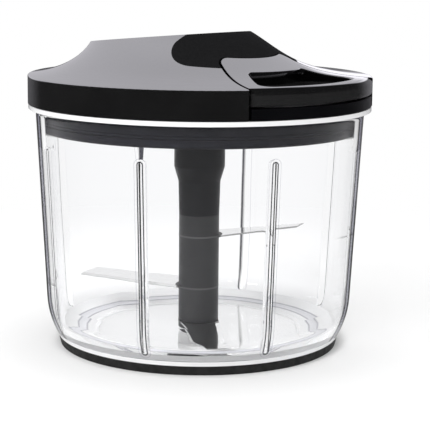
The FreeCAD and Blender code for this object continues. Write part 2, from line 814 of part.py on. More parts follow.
def screw_post(number):
    x, y = screw_place(number)
    return moved(tube(CARRIER_EAR_RADIUS, 0, cup_bottom() - PLUG_FLOOR / 2, cup_top()), x, y)


def screw_hole(number):
    x, y = screw_place(number)
    return moved(tube(SCREW_RADIUS, 0, cup_top() - SCREW_LENGTH + CARRIER_THICK, TALL), x, y)


def make_spring_cup():
    """An open cup on the plug's floor. The spring's outer end bears on its wall."""
    flange_hole = lower_bush_radius() + LOWER_BUSH_FLANGE + SKIRT_FIT
    return ring(
        (flange_hole, cup_bottom()), (CUP_RADIUS, cup_bottom()), (CUP_RADIUS, cup_top()),
        (CUP_RADIUS - CUP_WALL, cup_top()), (CUP_RADIUS - CUP_WALL, cup_bottom() + CUP_FLOOR),
        (flange_hole, cup_bottom() + CUP_FLOOR),
    )


def spiral_side(start_radius, pitch, bottom):
    """A flat spiral of half circles, whose centre steps from side to side."""
    edges = []
    radius = start_radius
    start = vec(radius, 0, bottom)
    side = 1
    for _ in range(2 * SPRING_TURNS):
        middle_x = start.x - side * radius
        end = vec(middle_x - side * radius, 0, bottom)
        edges.append(Part.Arc(start, vec(middle_x, side * radius, bottom), end).toShape())
        start = end
        side = -side
        radius += pitch / 2
    return edges, start


def spring_pitch():
    """The spiral grows from the arbor to just inside the cup's wall."""
    outer = CUP_RADIUS - CUP_WALL - 2 * SPRING_THICK
    return (outer - SPRING_INNER) / SPRING_TURNS


def make_mainspring():
    """The flat spiral spring that winds the cord back."""
    bottom = cup_bottom() + CUP_FLOOR + SPRING_GAP
    pitch = spring_pitch()
    inner_edges, inner_end = spiral_side(SPRING_INNER, pitch, bottom)
    outer_edges, outer_end = spiral_side(SPRING_INNER + SPRING_THICK, pitch, bottom)
    start_cap = Part.makeLine(vec(SPRING_INNER, 0, bottom), vec(SPRING_INNER + SPRING_THICK, 0, bottom))
    end_cap = Part.makeLine(inner_end, outer_end)
    wire = Part.Wire(Part.__sortEdges__(inner_edges + outer_edges + [start_cap, end_cap]))
    return Part.Face(wire).extrude(vec(0, 0, SPRING_WIDTH))


def make_spring_cover():
    """A plate with three ears that closes the cup."""
    bottom = cup_top()
    top = bottom + CARRIER_THICK
    plate = tube(CARRIER_RADIUS, 0, bottom, top)
    ears = []
    for number in range(CARRIER_SCREW_COUNT):
        x, y = screw_place(number)
        ear = moved(tube(CARRIER_EAR_RADIUS, 0, bottom, top), x, y)
        web = Part.makeBox(CARRIER_SCREW_CIRCLE, 2 * CARRIER_EAR_RADIUS, CARRIER_THICK,
                           vec(0, -CARRIER_EAR_RADIUS, bottom))
        ears += [ear, turned(web, math.degrees(math.atan2(y, x)))]
    plate = plate.fuse(ears).removeSplitter()
    holes = [screw_hole(number) for number in range(CARRIER_SCREW_COUNT)]
    return plate.cut([tube(SPINDLE_RADIUS + CARRIER_HOLE_GAP, 0, bottom - 1, top + 1)] + holes)


def make_screw(length):
    """A pan-head screw, head up, with its seat at height 0."""
    shank = tube(SCREW_RADIUS, 0, -length, 0)
    head = tube(SCREW_HEAD_RADIUS, 0, 0, SCREW_HEAD)
    corner = vec(-SCREW_SLOT_LENGTH / 2, -SCREW_SLOT_WIDTH / 2, SCREW_HEAD - SCREW_SLOT_DEPTH)
    slot = Part.makeBox(SCREW_SLOT_LENGTH, SCREW_SLOT_WIDTH, SCREW_HEAD, corner)
    top_edge = [edge for edge in head.Edges if edge.BoundBox.ZMin > SCREW_HEAD / 2]
    head = head.makeFillet(SCREW_HEAD_FILLET, top_edge)
    return shank.fuse(head).cut([slot, turned(slot, FULL_TURN / 4)])


def make_carrier_screws():
    screws = []
    for number in range(CARRIER_SCREW_COUNT):
        x, y = screw_place(number)
        screws.append(moved(make_screw(SCREW_LENGTH), x, y, cup_top() + CARRIER_THICK))
    return Part.makeCompound(screws)


# Reel, spindle and cord

def groove_bottom():
    return REEL_BOTTOM + REEL_FLANGE


def reel_top():
    return REEL_BOTTOM + 2 * REEL_FLANGE + REEL_GROOVE


def make_drive_spindle():
    """The shaft from the column's socket up to the lid: hexagon, journal, hexagon, thin journal."""
    collar_bottom = PLUG_BOTTOM - COLLAR_DEPTH
    drive = hexagon(SPINDLE_FLATS, SPINDLE_BOTTOM, collar_bottom + 1)
    journal = tube(SPINDLE_RADIUS, 0, collar_bottom - JOURNAL_PROUD, REEL_BOTTOM)
    seat = hexagon(SPINDLE_FLATS, REEL_BOTTOM - 1, reel_top() + REEL_HUB_HEIGHT)
    top = tube(JOURNAL_RADIUS, 0, reel_top(), JOURNAL_TOP)
    return drive.fuse([journal, seat, top])


def make_cord_reel():
    """A grooved reel on the spindle's hexagon."""
    top = reel_top()
    mid_top = groove_bottom() + REEL_GROOVE
    reel = ring(
        (0, REEL_BOTTOM), (REEL_FLANGE_RADIUS, REEL_BOTTOM), (REEL_FLANGE_RADIUS, groove_bottom()),
        (REEL_DRUM_RADIUS, groove_bottom()), (REEL_DRUM_RADIUS, mid_top), (REEL_FLANGE_RADIUS, mid_top),
        (REEL_FLANGE_RADIUS, top), (REEL_HUB_RADIUS, top), (REEL_HUB_RADIUS, top + REEL_HUB_HEIGHT),
        (0, top + REEL_HUB_HEIGHT),
    )
    return reel.cut(hexagon(SPINDLE_FLATS + CORE_FIT, REEL_BOTTOM - 1, top + 2))


def winding_radius():
    return REEL_DRUM_RADIUS + CORD_RADIUS


def make_cord_winding():
    """The cord's turns on the drum, beside each other."""
    pitch = REEL_GROOVE / CORD_WRAPS
    bottom = groove_bottom()
    crest = REEL_DRUM_RADIUS + 2 * CORD_RADIUS
    points = [(REEL_DRUM_RADIUS, bottom + REEL_GROOVE), (REEL_DRUM_RADIUS, bottom)]
    for wrap in range(CORD_WRAPS):
        low = bottom + wrap * pitch
        points += [(winding_radius(), low), (crest, low + pitch / 3), (crest, low + 2 * pitch / 3)]
    return ring(*points, (winding_radius(), bottom + REEL_GROOVE))


def cord_leaves():
    """Where the cord leaves the drum: the tangent point towards the eyelet."""
    swing = math.acos(winding_radius() / HANDLE_INNER)
    radius = winding_radius() + 2 * CORD_RADIUS + CORD_LEAD_GAP
    return around_handle(radius, math.degrees(swing), CORD_HEIGHT)


def recess_back():
    """Radius of the recess's back wall, on the handle's side."""
    return HANDLE_INNER - HANDLE_BACK_GAP


def make_cord_lead():
    """The cord from the drum through the eyelet to the handle's back."""
    start = cord_leaves()
    mouth = vec(0, TRAY_WALL + EYELET_LIP_THICK - recess_back(), CORD_HEIGHT)
    end = vec(0, -recess_back() - CORD_END_GAP, CORD_HEIGHT)
    slant = Part.makeCylinder(CORD_RADIUS, (mouth - start).Length, start, mouth - start)
    joint = Part.makeSphere(CORD_RADIUS, mouth)
    straight = Part.makeCylinder(CORD_RADIUS, (end - mouth).Length, mouth, end - mouth)
    return slant.fuse([joint, straight])


def make_cord_eyelet():
    """A smooth eyelet in the recess's back wall."""
    front = -recess_back()
    inside = front + TRAY_WALL
    body = cord_rod(EYELET_RADIUS, inside + EYELET_LIP_THICK, front)
    lip = cord_rod(EYELET_LIP, inside + EYELET_LIP_THICK, inside).common(tube(-inside, 0, LID_BOTTOM, TALL))
    return body.fuse(lip).cut(cord_rod(EYELET_BORE, inside + TRAY_WALL, front - TRAY_WALL))


def cord_rod(radius, start, end):
    """A rod along the cord's last straight length, between two places on the Y axis."""
    return Part.makeCylinder(radius, start - end, vec(0, start, CORD_HEIGHT), vec(0, -1, 0))


def cord_hole():
    return cord_rod(EYELET_BORE, 1 - HANDLE_INNER, -HANDLE_INNER - HANDLE_WALL - 1)


def make_cord_tail():
    """The cord's end, through the handle's back wall and into the knot."""
    return cord_rod(CORD_RADIUS, -HANDLE_INNER, -HANDLE_INNER - HANDLE_WALL - KNOT_RADIUS)


def make_cord_knot():
    """The knot that holds the cord behind the handle's wall."""
    knot = Part.makeSphere(KNOT_RADIUS, vec(0, -HANDLE_INNER - HANDLE_WALL - KNOT_RADIUS, CORD_HEIGHT))
    return knot.cut(make_cord_tail())


def make_reel_clip():
    """A snap ring over the reel's hub."""
    bottom = reel_top() + REEL_HUB_HEIGHT
    clip = tube(CLIP_RADIUS, JOURNAL_RADIUS, bottom, bottom + CLIP_THICK)
    opening = Part.makeBox(CLIP_RADIUS, CLIP_OPENING, CLIP_THICK, vec(0, -CLIP_OPENING / 2, bottom))
    return clip.cut(opening)


# Pull handle

def handle_bottom():
    return RECESS_FLOOR + HANDLE_UNDER_GAP


def handle_prism(inset, bottom):
    """The handle's plan, drawn in by an inset on every side."""
    block = sector(
        HANDLE_INNER + inset, LID_RADIUS - inset, HANDLE_HALF_ANGLE, bottom, TALL, HANDLE_SIDE - inset,
    )
    middle = (HANDLE_INNER + LID_RADIUS) / 2
    block = round_upright_edges(block, HANDLE_CORNER - inset, 0, middle)
    if inset < HANDLE_OUTER_CORNER:
        block = round_upright_edges(block, HANDLE_OUTER_CORNER - inset, middle)
    return block


def soft_lower_edge():
    """A round form that softens the lower edge of the handle's front."""
    bottom = handle_bottom()
    edge = HANDLE_LOWER_EDGE
    bow = edge * math.sqrt(0.5)
    centre = (LID_RADIUS - edge, bottom + edge)
    return revolved([
        line((0, bottom), (centre[0], bottom)),
        arc((centre[0], bottom), (centre[0] + bow, centre[1] - bow), (LID_RADIUS, centre[1])),
        line((LID_RADIUS, centre[1]), (LID_RADIUS, TALL)),
        line((LID_RADIUS, TALL), (0, TALL)),
        line((0, TALL), (0, bottom)),
    ])


def handle_boss_places():
    """The two screws stand in the middle of the bar behind the slot."""
    radius = HANDLE_INNER + HANDLE_BACK_BAR / 2
    return [around_handle(radius, side * HANDLE_SCREW_ANGLE) for side in (-1, 1)]


def handle_rods(radius, bottom, top):
    """An upright rod at each of the handle's two screws."""
    return [moved(tube(radius, 0, bottom, top), place.x, place.y) for place in handle_boss_places()]


def soft_slot(grip):
    """Round the slot's upper edge, where the fingers pull."""
    chosen = []
    for edge in grip.Edges:
        middle = edge.valueAt((edge.FirstParameter + edge.LastParameter) / 2)
        radius = math.hypot(middle.x, middle.y)
        side = math.degrees(math.atan2(abs(middle.x), -middle.y))
        in_slot = slot_inner() - SLOT_EDGE < radius < slot_outer() + SLOT_EDGE and side < HANDLE_HALF_ANGLE
        upper = edge.BoundBox.ZMin > handle_bottom() + HANDLE_WALL
        if in_slot and upper and not isinstance(edge.Curve, Part.Line):
            chosen.append(edge)
    return grip.makeFillet(SLOT_EDGE, chosen)


def make_handle_grip(sharp_body):
    """The handle's upper shell. Its top is the lid's own bell, with a slot for the fingers."""
    rounded = round_rim(sharp_body, HANDLE_BROW)
    outer = rounded.common([handle_prism(0, handle_bottom())], FACE_TOLERANCE)
    outer = outer.common(soft_lower_edge()).cut(slot_prism(0, LID_BOTTOM))
    outer = soft_slot(outer)
    hollow = handle_prism(HANDLE_WALL, handle_bottom()).common(moved(sharp_body, z=-HANDLE_WALL))
    bosses = handle_rods(HANDLE_BOSS_RADIUS, handle_bottom() + HANDLE_BASE_THICK, TALL)
    hollow = hollow.cut([slot_prism(HANDLE_WALL, LID_BOTTOM)] + bosses)
    screw_holes = handle_rods(SCREW_RADIUS, LID_BOTTOM, handle_bottom() + HANDLE_SCREW_LENGTH)
    return outer.cut([hollow, cord_hole()] + screw_holes)


def make_handle_base():
    """The plate that closes the handle from below."""
    inset = HANDLE_WALL + HANDLE_BASE_FIT
    plate = handle_prism(inset, handle_bottom())
    plate = plate.common(tube(LID_RADIUS, 0, handle_bottom(), handle_bottom() + HANDLE_BASE_THICK))
    return plate.cut([slot_prism(inset, LID_BOTTOM)] + handle_rods(SCREW_RADIUS, LID_BOTTOM, TALL))


def make_handle_screws():
    bottom = handle_bottom()
    return Part.makeCompound(handle_rods(SCREW_RADIUS, bottom, bottom + HANDLE_SCREW_LENGTH))


def make_parts():
    """Every piece by its name, from the table upwards."""
    sharp_body = sharp_lid_body()
    body = softened(sharp_body)
    pad = make_grip_pad(body)
    return {
        "base_ring": make_base_ring(),
        "bowl": make_bowl(),
        "pivot_pin": pin_rod(),
        "thrust_washer": make_thrust_washer(),
        "foot_bush": make_foot_bush(),
        "column_core": make_column_core(),
        "column_foot": make_column_foot(),
        "blade_lower": make_blade(LOWER_BLADE),
        "sleeve_lower": make_sleeve(blade_top(LOWER_BLADE), blade_bottom(MIDDLE_BLADE)),
        "blade_middle": make_blade(MIDDLE_BLADE),
        "sleeve_middle": make_sleeve(blade_top(MIDDLE_BLADE), blade_bottom(UPPER_BLADE)),
        "blade_upper": make_blade(UPPER_BLADE),
        "sleeve_upper": make_sleeve(blade_top(UPPER_BLADE), SLEEVE_TOP),
        "column_head": make_column_head(),
        "lid_cover": make_lid_cover(body, sharp_body, pad),
        "lid_tray": make_lid_tray(sharp_body),
        "grip_pad": pad,
        "lid_plug": make_lid_plug(),
        "lid_gasket": make_lid_gasket(),
        "lower_bush": make_lower_bush(),
        "upper_bush": make_upper_bush(),
        "spring_cup": make_spring_cup(),
        "mainspring": make_mainspring(),
        "spring_cover": make_spring_cover(),
        "carrier_screws": make_carrier_screws(),
        "cord_eyelet": make_cord_eyelet(),
        "cord_lead": make_cord_lead(),
        "drive_spindle": make_drive_spindle(),
        "cord_reel": make_cord_reel(),
        "cord_winding": make_cord_winding(),
        "reel_clip": make_reel_clip(),
        "handle_grip": make_handle_grip(sharp_body),
        "handle_base": make_handle_base(),
        "handle_screws": make_handle_screws(),
        "cord_tail": make_cord_tail(),
        "cord_knot": make_cord_knot(),
    }


def main():
    os.makedirs("parts", exist_ok=True)
    for name, shape in make_parts().items():
        box = shape.BoundBox
        print(f"{name}: {len(shape.Solids)} solid, volume {shape.Volume:.1f}, valid {shape.isValid()}, "
              f"z {box.ZMin:.2f} to {box.ZMax:.2f}")
        shape.exportStep(f"parts/{name}.step")


main()
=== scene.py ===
# %% [markdown]
# # Dressing a pull-string food chopper
#
# The chopper is already built as solid parts. Here they get their looks: a clear bowl, a glossy
# lid, polished blades, and a plain studio around them. All sizes are in metres. +Z is up, the
# chopper stands at the origin, and its pull handle faces -Y.

# %% Load the solid parts
import json
import math

import bmesh
import bpy
from mathutils import Matrix, Vector


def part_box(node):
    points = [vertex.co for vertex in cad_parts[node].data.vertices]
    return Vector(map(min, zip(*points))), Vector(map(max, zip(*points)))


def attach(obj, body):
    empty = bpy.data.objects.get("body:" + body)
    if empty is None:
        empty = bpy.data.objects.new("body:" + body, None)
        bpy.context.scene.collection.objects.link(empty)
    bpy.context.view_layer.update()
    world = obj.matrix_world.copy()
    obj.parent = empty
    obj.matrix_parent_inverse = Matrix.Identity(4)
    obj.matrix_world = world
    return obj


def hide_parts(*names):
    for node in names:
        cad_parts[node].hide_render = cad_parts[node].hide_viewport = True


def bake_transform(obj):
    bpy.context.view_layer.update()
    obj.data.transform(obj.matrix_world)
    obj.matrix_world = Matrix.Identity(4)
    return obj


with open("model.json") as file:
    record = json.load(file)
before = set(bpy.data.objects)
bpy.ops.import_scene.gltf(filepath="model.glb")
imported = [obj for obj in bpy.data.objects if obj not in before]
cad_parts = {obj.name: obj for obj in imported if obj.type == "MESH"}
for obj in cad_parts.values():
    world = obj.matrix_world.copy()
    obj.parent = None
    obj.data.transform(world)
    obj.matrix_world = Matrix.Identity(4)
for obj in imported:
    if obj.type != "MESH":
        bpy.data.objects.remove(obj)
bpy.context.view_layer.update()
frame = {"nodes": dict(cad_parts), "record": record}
nodes = frame["nodes"]
print("parts loaded:", len(nodes))

# %% [markdown]
# ## The camera
#
# The camera stands a little above the lid and looks slightly down. It could be dragged into place
# by eye, but here its place is worked out from a few facts: how far it is from the centre line,
# how high, in which direction, and how far the centre line is off the middle of the picture. A
# long lens keeps the bowl's sides nearly upright.

# %% Place the camera
CAMERA_DISTANCE = 0.6288
CAMERA_HEIGHT = 0.1652
CAMERA_DIRECTION = math.radians(-49.5)
CAMERA_SIDE_STEP = 0.00671
CAMERA_PITCH = math.radians(10.08)
CAMERA_ROLL = math.radians(0.61)
LENS_PER_SENSOR = 1508.3 / 430
SENSOR_WIDTH = 36.0
CAMERA_NEAREST = 0.01

UP = Vector((0, 0, 1))
TOWARDS_CAMERA = Vector((math.sin(CAMERA_DIRECTION), -math.cos(CAMERA_DIRECTION), 0))
CAMERA_RIGHT = UP.cross(TOWARDS_CAMERA)


def make_camera():
    view = (-TOWARDS_CAMERA * math.cos(CAMERA_PITCH) - UP * math.sin(CAMERA_PITCH)).normalized()
    top = CAMERA_RIGHT.cross(view)
    right = CAMERA_RIGHT * math.cos(CAMERA_ROLL) + top * math.sin(CAMERA_ROLL)
    top = top * math.cos(CAMERA_ROLL) - CAMERA_RIGHT * math.sin(CAMERA_ROLL)
    place = TOWARDS_CAMERA * CAMERA_DISTANCE + CAMERA_RIGHT * CAMERA_SIDE_STEP + UP * CAMERA_HEIGHT
    data = bpy.data.cameras.new("camera")
    data.sensor_width = SENSOR_WIDTH
    data.lens = SENSOR_WIDTH * LENS_PER_SENSOR
    data.clip_start = CAMERA_NEAREST
    camera = bpy.data.objects.new("camera", data)
    axes = Matrix((right, top, -view)).transposed()
    camera.matrix_world = Matrix.Translation(place) @ axes.to_4x4()
    bpy.context.scene.collection.objects.link(camera)
    bpy.context.scene.camera = camera
    print("camera at", [round(value, 3) for value in place], "lens", round(data.lens, 1), "mm")


make_camera()

# %% [markdown]
# ## Tools for shader nodes
#
# Floor, surroundings and finishes are all made of shader nodes. They could be wired by hand in the
# shader editor, but a recipe in code can be read through and changed in one place. The first tools
# add a node, link it, and do one sum.

# %% Add and link nodes


def add(tree, kind, **inputs):
    """Add a node and set the inputs that are named, with spaces written as underscores."""
    node = tree.nodes.new(kind)
    for name, value in inputs.items():
        node.inputs[name.replace("_", " ")].default_value = value
    return node


def feed(tree, socket, value):
    """Give a socket a number, or a link from another node's output."""
    if isinstance(value, bpy.types.NodeSocket):
        tree.links.new(value, socket)
    else:
        socket.default_value = value


def operate(tree, kind, operation, first, second):
    node = tree.nodes.new(kind)
    node.operation = operation
    feed(tree, node.inputs[0], first)
    feed(tree, node.inputs[1], second)
    return node


def compute(tree, operation, first, second=0.0):
    return operate(tree, "ShaderNodeMath", operation, first, second).outputs["Value"]


def combine(tree, operation, first, second=(0, 0, 0)):
    return operate(tree, "ShaderNodeVectorMath", operation, first, second).outputs["Vector"]


print("sums ready:", compute.__name__, "for numbers,", combine.__name__, "for vectors")

# %% [markdown]
# Most recipes ask a question about a point, such as whether it lies below a height. The answer is 1
# for yes and 0 for no. It could be written out as sums each time, but a few plain words for them
# make the recipes readable.

# %% Ask and combine questions


def both(tree, first, second):
    return compute(tree, "MULTIPLY", first, second)


def either(tree, first, second):
    return compute(tree, "MAXIMUM", first, second)


def opposite(tree, value):
    return compute(tree, "SUBTRACT", 1.0, value)


def less(tree, value, limit):
    return compute(tree, "LESS_THAN", value, limit)


def more(tree, value, limit):
    return compute(tree, "GREATER_THAN", value, limit)


print("questions ready:", less.__name__, more.__name__, both.__name__, either.__name__)

# %% [markdown]
# The answers then switch between two values, or change a number or a colour gradually. A straight
# ramp would do, but it leaves a visible line at either end on a shiny surface. So a smooth step is
# used, which starts and ends softly.

# %% Switch and blend


def smooth_step(tree, value, low, high, start=0.0, end=1.0):
    """Go smoothly from start to end while the value goes from low to high."""
    node = add(tree, "ShaderNodeMapRange", From_Min=low, From_Max=high)
    node.interpolation_type = "SMOOTHSTEP"
    feed(tree, node.inputs["Value"], value)
    feed(tree, node.inputs["To Min"], start)
    feed(tree, node.inputs["To Max"], end)
    return node.outputs["Result"]


def choose(tree, switch, when_off, when_on):
    """One value where the switch is 0, the other where it is 1."""
    return smooth_step(tree, switch, 0, 1, when_off, when_on)


def colour_steps(tree, value, steps):
    """A colour that changes along the value, through (place, colour) steps."""
    node = tree.nodes.new("ShaderNodeValToRGB")
    marks = node.color_ramp.elements
    while len(marks) < len(steps):
        marks.new(0.5)
    for mark, (place, colour) in zip(marks, steps):
        mark.position = place
        mark.color = (*colour, 1)
    feed(tree, node.inputs["Fac"], value)
    return node.outputs["Color"]


print("switches ready:", choose.__name__, "and", colour_steps.__name__)

# %% [markdown]
# A finish often depends on the place on the chopper or on the way that a surface faces. It could
# be painted on, but measuring needs no picture. The place comes from the object's own coordinates,
# which stay with the part when it moves. The way that a surface faces is measured against the
# upright, so it stays true while a part slides or turns round the upright.

# %% Measure place and direction


def place_on_part(tree):
    return tree.nodes.new("ShaderNodeTexCoord").outputs["Object"]


def along(tree, vector, axis):
    """How far a vector reaches along an axis."""
    return operate(tree, "ShaderNodeVectorMath", "DOT_PRODUCT", vector, axis).outputs["Value"]


def length_of(tree, vector):
    return operate(tree, "ShaderNodeVectorMath", "LENGTH", vector, (0, 0, 0)).outputs["Value"]


def height_and_radius(tree):
    """How high a point is over the table, and how far from the centre line."""
    place = place_on_part(tree)
    return along(tree, place, UP), length_of(tree, combine(tree, "MULTIPLY", place, (1, 1, 0)))


def facing_up(tree):
    """1 where a surface faces up, 0 where it is upright, -1 where it faces down."""
    return along(tree, tree.nodes.new("ShaderNodeNewGeometry").outputs["Normal"], UP)


print("measures ready:", height_and_radius.__name__, "and", facing_up.__name__)

# %% [markdown]
# The studio shows one thing to the camera and another to a shiny surface. A photographer does that
# with boards and cloths outside the picture. Here the light path tells which ray is asking. A ray
# through clear plastic can count as glossy too, so the two kinds are compared.

# %% Tell the rays apart


def is_mirrored(tree):
    """1 for a ray that bounced off a shiny surface, 0 for one that went through a clear one."""
    path = tree.nodes.new("ShaderNodeLightPath").outputs
    return more(tree, path["Is Glossy Ray"], path["Is Transmission Ray"])


def is_seen(tree):
    """1 for a ray from the camera, straight or through the clear bowl."""
    path = tree.nodes.new("ShaderNodeLightPath").outputs
    return either(tree, path["Is Camera Ray"], path["Is Transmission Ray"])


print("rays told apart:", is_mirrored.__name__, "and", is_seen.__name__)

# %% [markdown]
# ## The floor
#
# A round sheet of pale paper catches the soft shadow. It could be a much larger sheet, but paper
# is greyer than the white behind it, so its far edge would show. So away from the chopper it fades
# into plain white, which only the camera, shiny parts and clear parts see, and which lights
# nothing else. The disc under the bowl is mostly white too, a painted light: little light gets in
# there, so the paper glows white where it lies in shade.

# %% Choose where the floor glows
FLOOR_FADE_START = 0.14
FLOOR_FADE_END = 0.34
MIRRORED_FADE_START = 0.055
MIRRORED_FADE_END = 0.085
UNDER_BOWL = 0.056
UNDER_BOWL_EDGE = 0.059
UNDER_BOWL_PAINTED_LIGHT = 0.72


def floor_glow(tree):
    """The share of white glow in the paper, from 0 for paper alone to 1 for glow alone."""
    distance = height_and_radius(tree)[1]
    far = smooth_step(tree, distance, FLOOR_FADE_START, FLOOR_FADE_END)
    # painted light: the paper under the bowl glows white for the camera, where it lies in shade
    under = smooth_step(tree, distance, UNDER_BOWL, UNDER_BOWL_EDGE, UNDER_BOWL_PAINTED_LIGHT, 0.0)
    seen = both(tree, either(tree, far, under), is_seen(tree))
    mirrored = smooth_step(tree, distance, MIRRORED_FADE_START, MIRRORED_FADE_END)
    return either(tree, seen, both(tree, is_mirrored(tree), mirrored))


print("floor fades to white", FLOOR_FADE_START, "to", FLOOR_FADE_END, "m out")

# %% [markdown]
# The shiny lid's rim mirrors the floor. On white paper it would turn grey. Real black card round the
# chopper would keep it black, but would show in the picture. So only what a shiny part sees of the
# floor is nearly dark.

# %% Lay the floor
FLOOR_RADIUS = 0.36
FLOOR_SIDES = 128
PAPER_COLOUR = (0.80, 0.80, 0.80)
WHITE = (1.0, 1.0, 1.0)
MIRRORED_FLOOR = 0.1


def pale_paper():
    material = bpy.data.materials.new("pale_paper")
    material.use_nodes = True
    tree = material.node_tree
    tree.nodes.clear()
    paper = add(tree, "ShaderNodeBsdfDiffuse", Color=(*PAPER_COLOUR, 1))
    glow = add(tree, "ShaderNodeEmission", Color=(*WHITE, 1))
    feed(tree, glow.inputs["Strength"], choose(tree, is_mirrored(tree), 1.0, MIRRORED_FLOOR))
    mixed = tree.nodes.new("ShaderNodeMixShader")
    feed(tree, mixed.inputs["Fac"], floor_glow(tree))
    feed(tree, mixed.inputs[1], paper.outputs["BSDF"])
    feed(tree, mixed.inputs[2], glow.outputs["Emission"])
    output = tree.nodes.new("ShaderNodeOutputMaterial")
    feed(tree, output.inputs["Surface"], mixed.outputs["Shader"])
    return material


def make_floor():
    bpy.ops.mesh.primitive_circle_add(vertices=FLOOR_SIDES, radius=FLOOR_RADIUS, fill_type="NGON")
    floor = bpy.context.object
    floor.name = "floor"
    floor.data.materials.append(pale_paper())
    print("floor:", 2 * FLOOR_RADIUS, "m across")


make_floor()

# %% [markdown]
# ## The studio that shiny parts mirror
#
# A black glossy lid shows hardly any colour of its own, mostly what it mirrors. On the real one the
# top is an even grey and the upright rim is black. So the lid gets a studio with a soft ceiling,
# brightest overhead and dimmer towards the back, a pale window low at the back on the right, and a
# dark room behind the camera. A picture of a studio could be wrapped round the scene. A few smooth
# steps do the same and need no file.

# %% Describe the mirrored studio
MIRRORED_ROOM = 0.03
STUDIO_OVERHEAD = 3.3
STUDIO_FALL = 2.8
STUDIO_LEAN = 1.1
STUDIO_START = 0.6
STUDIO_END = 0.95
WINDOW_GLOW = 0.7
WINDOW_WIDTH = 0.1
WINDOW_TOP = 0.2
BELOW_HORIZON = 0.12
HORIZON_BOTTOM = -0.03
HORIZON_TOP = 0.04


def mirrored_studio(tree, direction, height):
    """How bright the studio is in a direction."""
    behind = along(tree, direction, -TOWARDS_CAMERA)
    side = along(tree, direction, CAMERA_RIGHT)
    ceiling = compute(tree, "SUBTRACT", STUDIO_OVERHEAD, both(tree, behind, STUDIO_FALL))
    window = both(
        tree,
        smooth_step(tree, side, 0.0, WINDOW_WIDTH, 0.0, WINDOW_GLOW),
        smooth_step(tree, height, WINDOW_TOP / 2, WINDOW_TOP, 1.0, 0.0),
    )
    lit = compute(tree, "ADD", ceiling, window)
    reach = compute(tree, "ADD", behind, both(tree, height, STUDIO_LEAN))
    around = both(tree, lit, smooth_step(tree, reach, STUDIO_START, STUDIO_END))
    rise = along(tree, direction, UP)
    above = smooth_step(tree, rise, HORIZON_BOTTOM, HORIZON_TOP, BELOW_HORIZON, 1.0)
    return compute(tree, "ADD", both(tree, around, above), MIRRORED_ROOM)


STUDIO_BEHIND = round(STUDIO_OVERHEAD - STUDIO_FALL, 2)
print("mirrored ceiling: from", STUDIO_OVERHEAD, "overhead to", STUDIO_BEHIND, "behind")

# %% [markdown]
# ## The surroundings
#
# What lights matte surfaces is plain and soft, and strongest from straight above, as under a large
# diffuser. A few lamps could do it, but each would leave its own shadow. What the camera and the
# clear bowl look at is white. Only shiny surfaces get the studio described above, in a faint
# lavender tint.

# %% Build the surroundings
SOFT_LIGHT = 0.7
SOFT_OVERHEAD = 1.7
OVERHEAD_SHARPNESS = 4.0
STUDIO_COLOUR = (0.95, 0.935, 1.0)


def make_world():
    world = bpy.data.worlds.new("studio")
    bpy.context.scene.world = world
    world.use_nodes = True
    tree = world.node_tree
    tree.nodes.clear()
    direction = tree.nodes.new("ShaderNodeTexCoord").outputs["Generated"]
    height = either(tree, along(tree, direction, UP), 0.0)
    overhead = both(tree, compute(tree, "POWER", height, OVERHEAD_SHARPNESS), SOFT_OVERHEAD)
    soft = compute(tree, "ADD", overhead, SOFT_LIGHT)
    level = choose(tree, is_mirrored(tree), soft, mirrored_studio(tree, direction, height))
    background = tree.nodes.new("ShaderNodeBackground")
    colour = colour_steps(tree, is_mirrored(tree), [(0, WHITE), (1, STUDIO_COLOUR)])
    feed(tree, background.inputs["Color"], colour)
    feed(tree, background.inputs["Strength"], choose(tree, is_seen(tree), level, 1.0))
    output = tree.nodes.new("ShaderNodeOutputWorld")
    feed(tree, output.inputs["Surface"], background.outputs["Background"])
    print("soft light:", SOFT_LIGHT, "all round, up to", SOFT_LIGHT + SOFT_OVERHEAD, "overhead")


make_world()

# %% [markdown]
# ## The lamp
#
# One large square lamp at the upper left gives the shadow its direction, to the right and back. A
# small lamp would cast a hard edge. Shiny parts don't mirror it, because a white square on the black
# handle looks like a sticker. The plain Standard view shows each colour about as it is set.

# %% Hang the lamp
LAMP_PLACE = TOWARDS_CAMERA * 0.9 - CAMERA_RIGHT * 0.75 + UP * 0.85
LAMP_SIZE = 0.6
LAMP_WATTS = 8.0
LAMP_TARGET = Vector((0, 0, 0.06))


def make_lamp():
    data = bpy.data.lights.new("soft_lamp", "AREA")
    data.size = LAMP_SIZE
    data.energy = LAMP_WATTS
    lamp = bpy.data.objects.new("soft_lamp", data)
    aim = (LAMP_TARGET - LAMP_PLACE).to_track_quat("-Z", "Y").to_matrix().to_4x4()
    lamp.matrix_world = Matrix.Translation(LAMP_PLACE) @ aim
    lamp.visible_glossy = False
    bpy.context.scene.collection.objects.link(lamp)
    print("lamp:", LAMP_WATTS, "W,", round((LAMP_TARGET - LAMP_PLACE).length, 2), "m away")


make_lamp()
bpy.context.scene.view_settings.view_transform = "Standard"

# %% [markdown]
# ## Tools for finishes
#
# Each finish starts from one Principled shader. A single flat colour would look like paint in a
# drawing, because real plastic, rubber and steel vary a little all over. So small noises change the
# colour, the roughness and the surface, each at the scale that the real finish has.

# %% Start a finish and vary it
QUIET_NOISE = 0.3
LOUD_NOISE = 0.7
NOISE_DETAIL = 3.0


def base_finish(name, **inputs):
    material = bpy.data.materials.new(name)
    material.use_nodes = True
    shader = material.node_tree.nodes["Principled BSDF"]
    for label, value in inputs.items():
        shader.inputs[label.replace("_", " ")].default_value = value
    return material


def socket(material, name):
    return material.node_tree.nodes["Principled BSDF"].inputs[name]


def noise(tree, size, stretch=(1, 1, 1)):
    """Noise with blobs of the given size, longer along an axis whose stretch is larger."""
    scale = add(tree, "ShaderNodeMapping", Scale=[1 / value for value in stretch])
    feed(tree, scale.inputs["Vector"], place_on_part(tree))
    pattern = add(tree, "ShaderNodeTexNoise", Scale=1 / size, Detail=NOISE_DETAIL)
    feed(tree, pattern.inputs["Vector"], scale.outputs["Vector"])
    return pattern.outputs["Fac"]


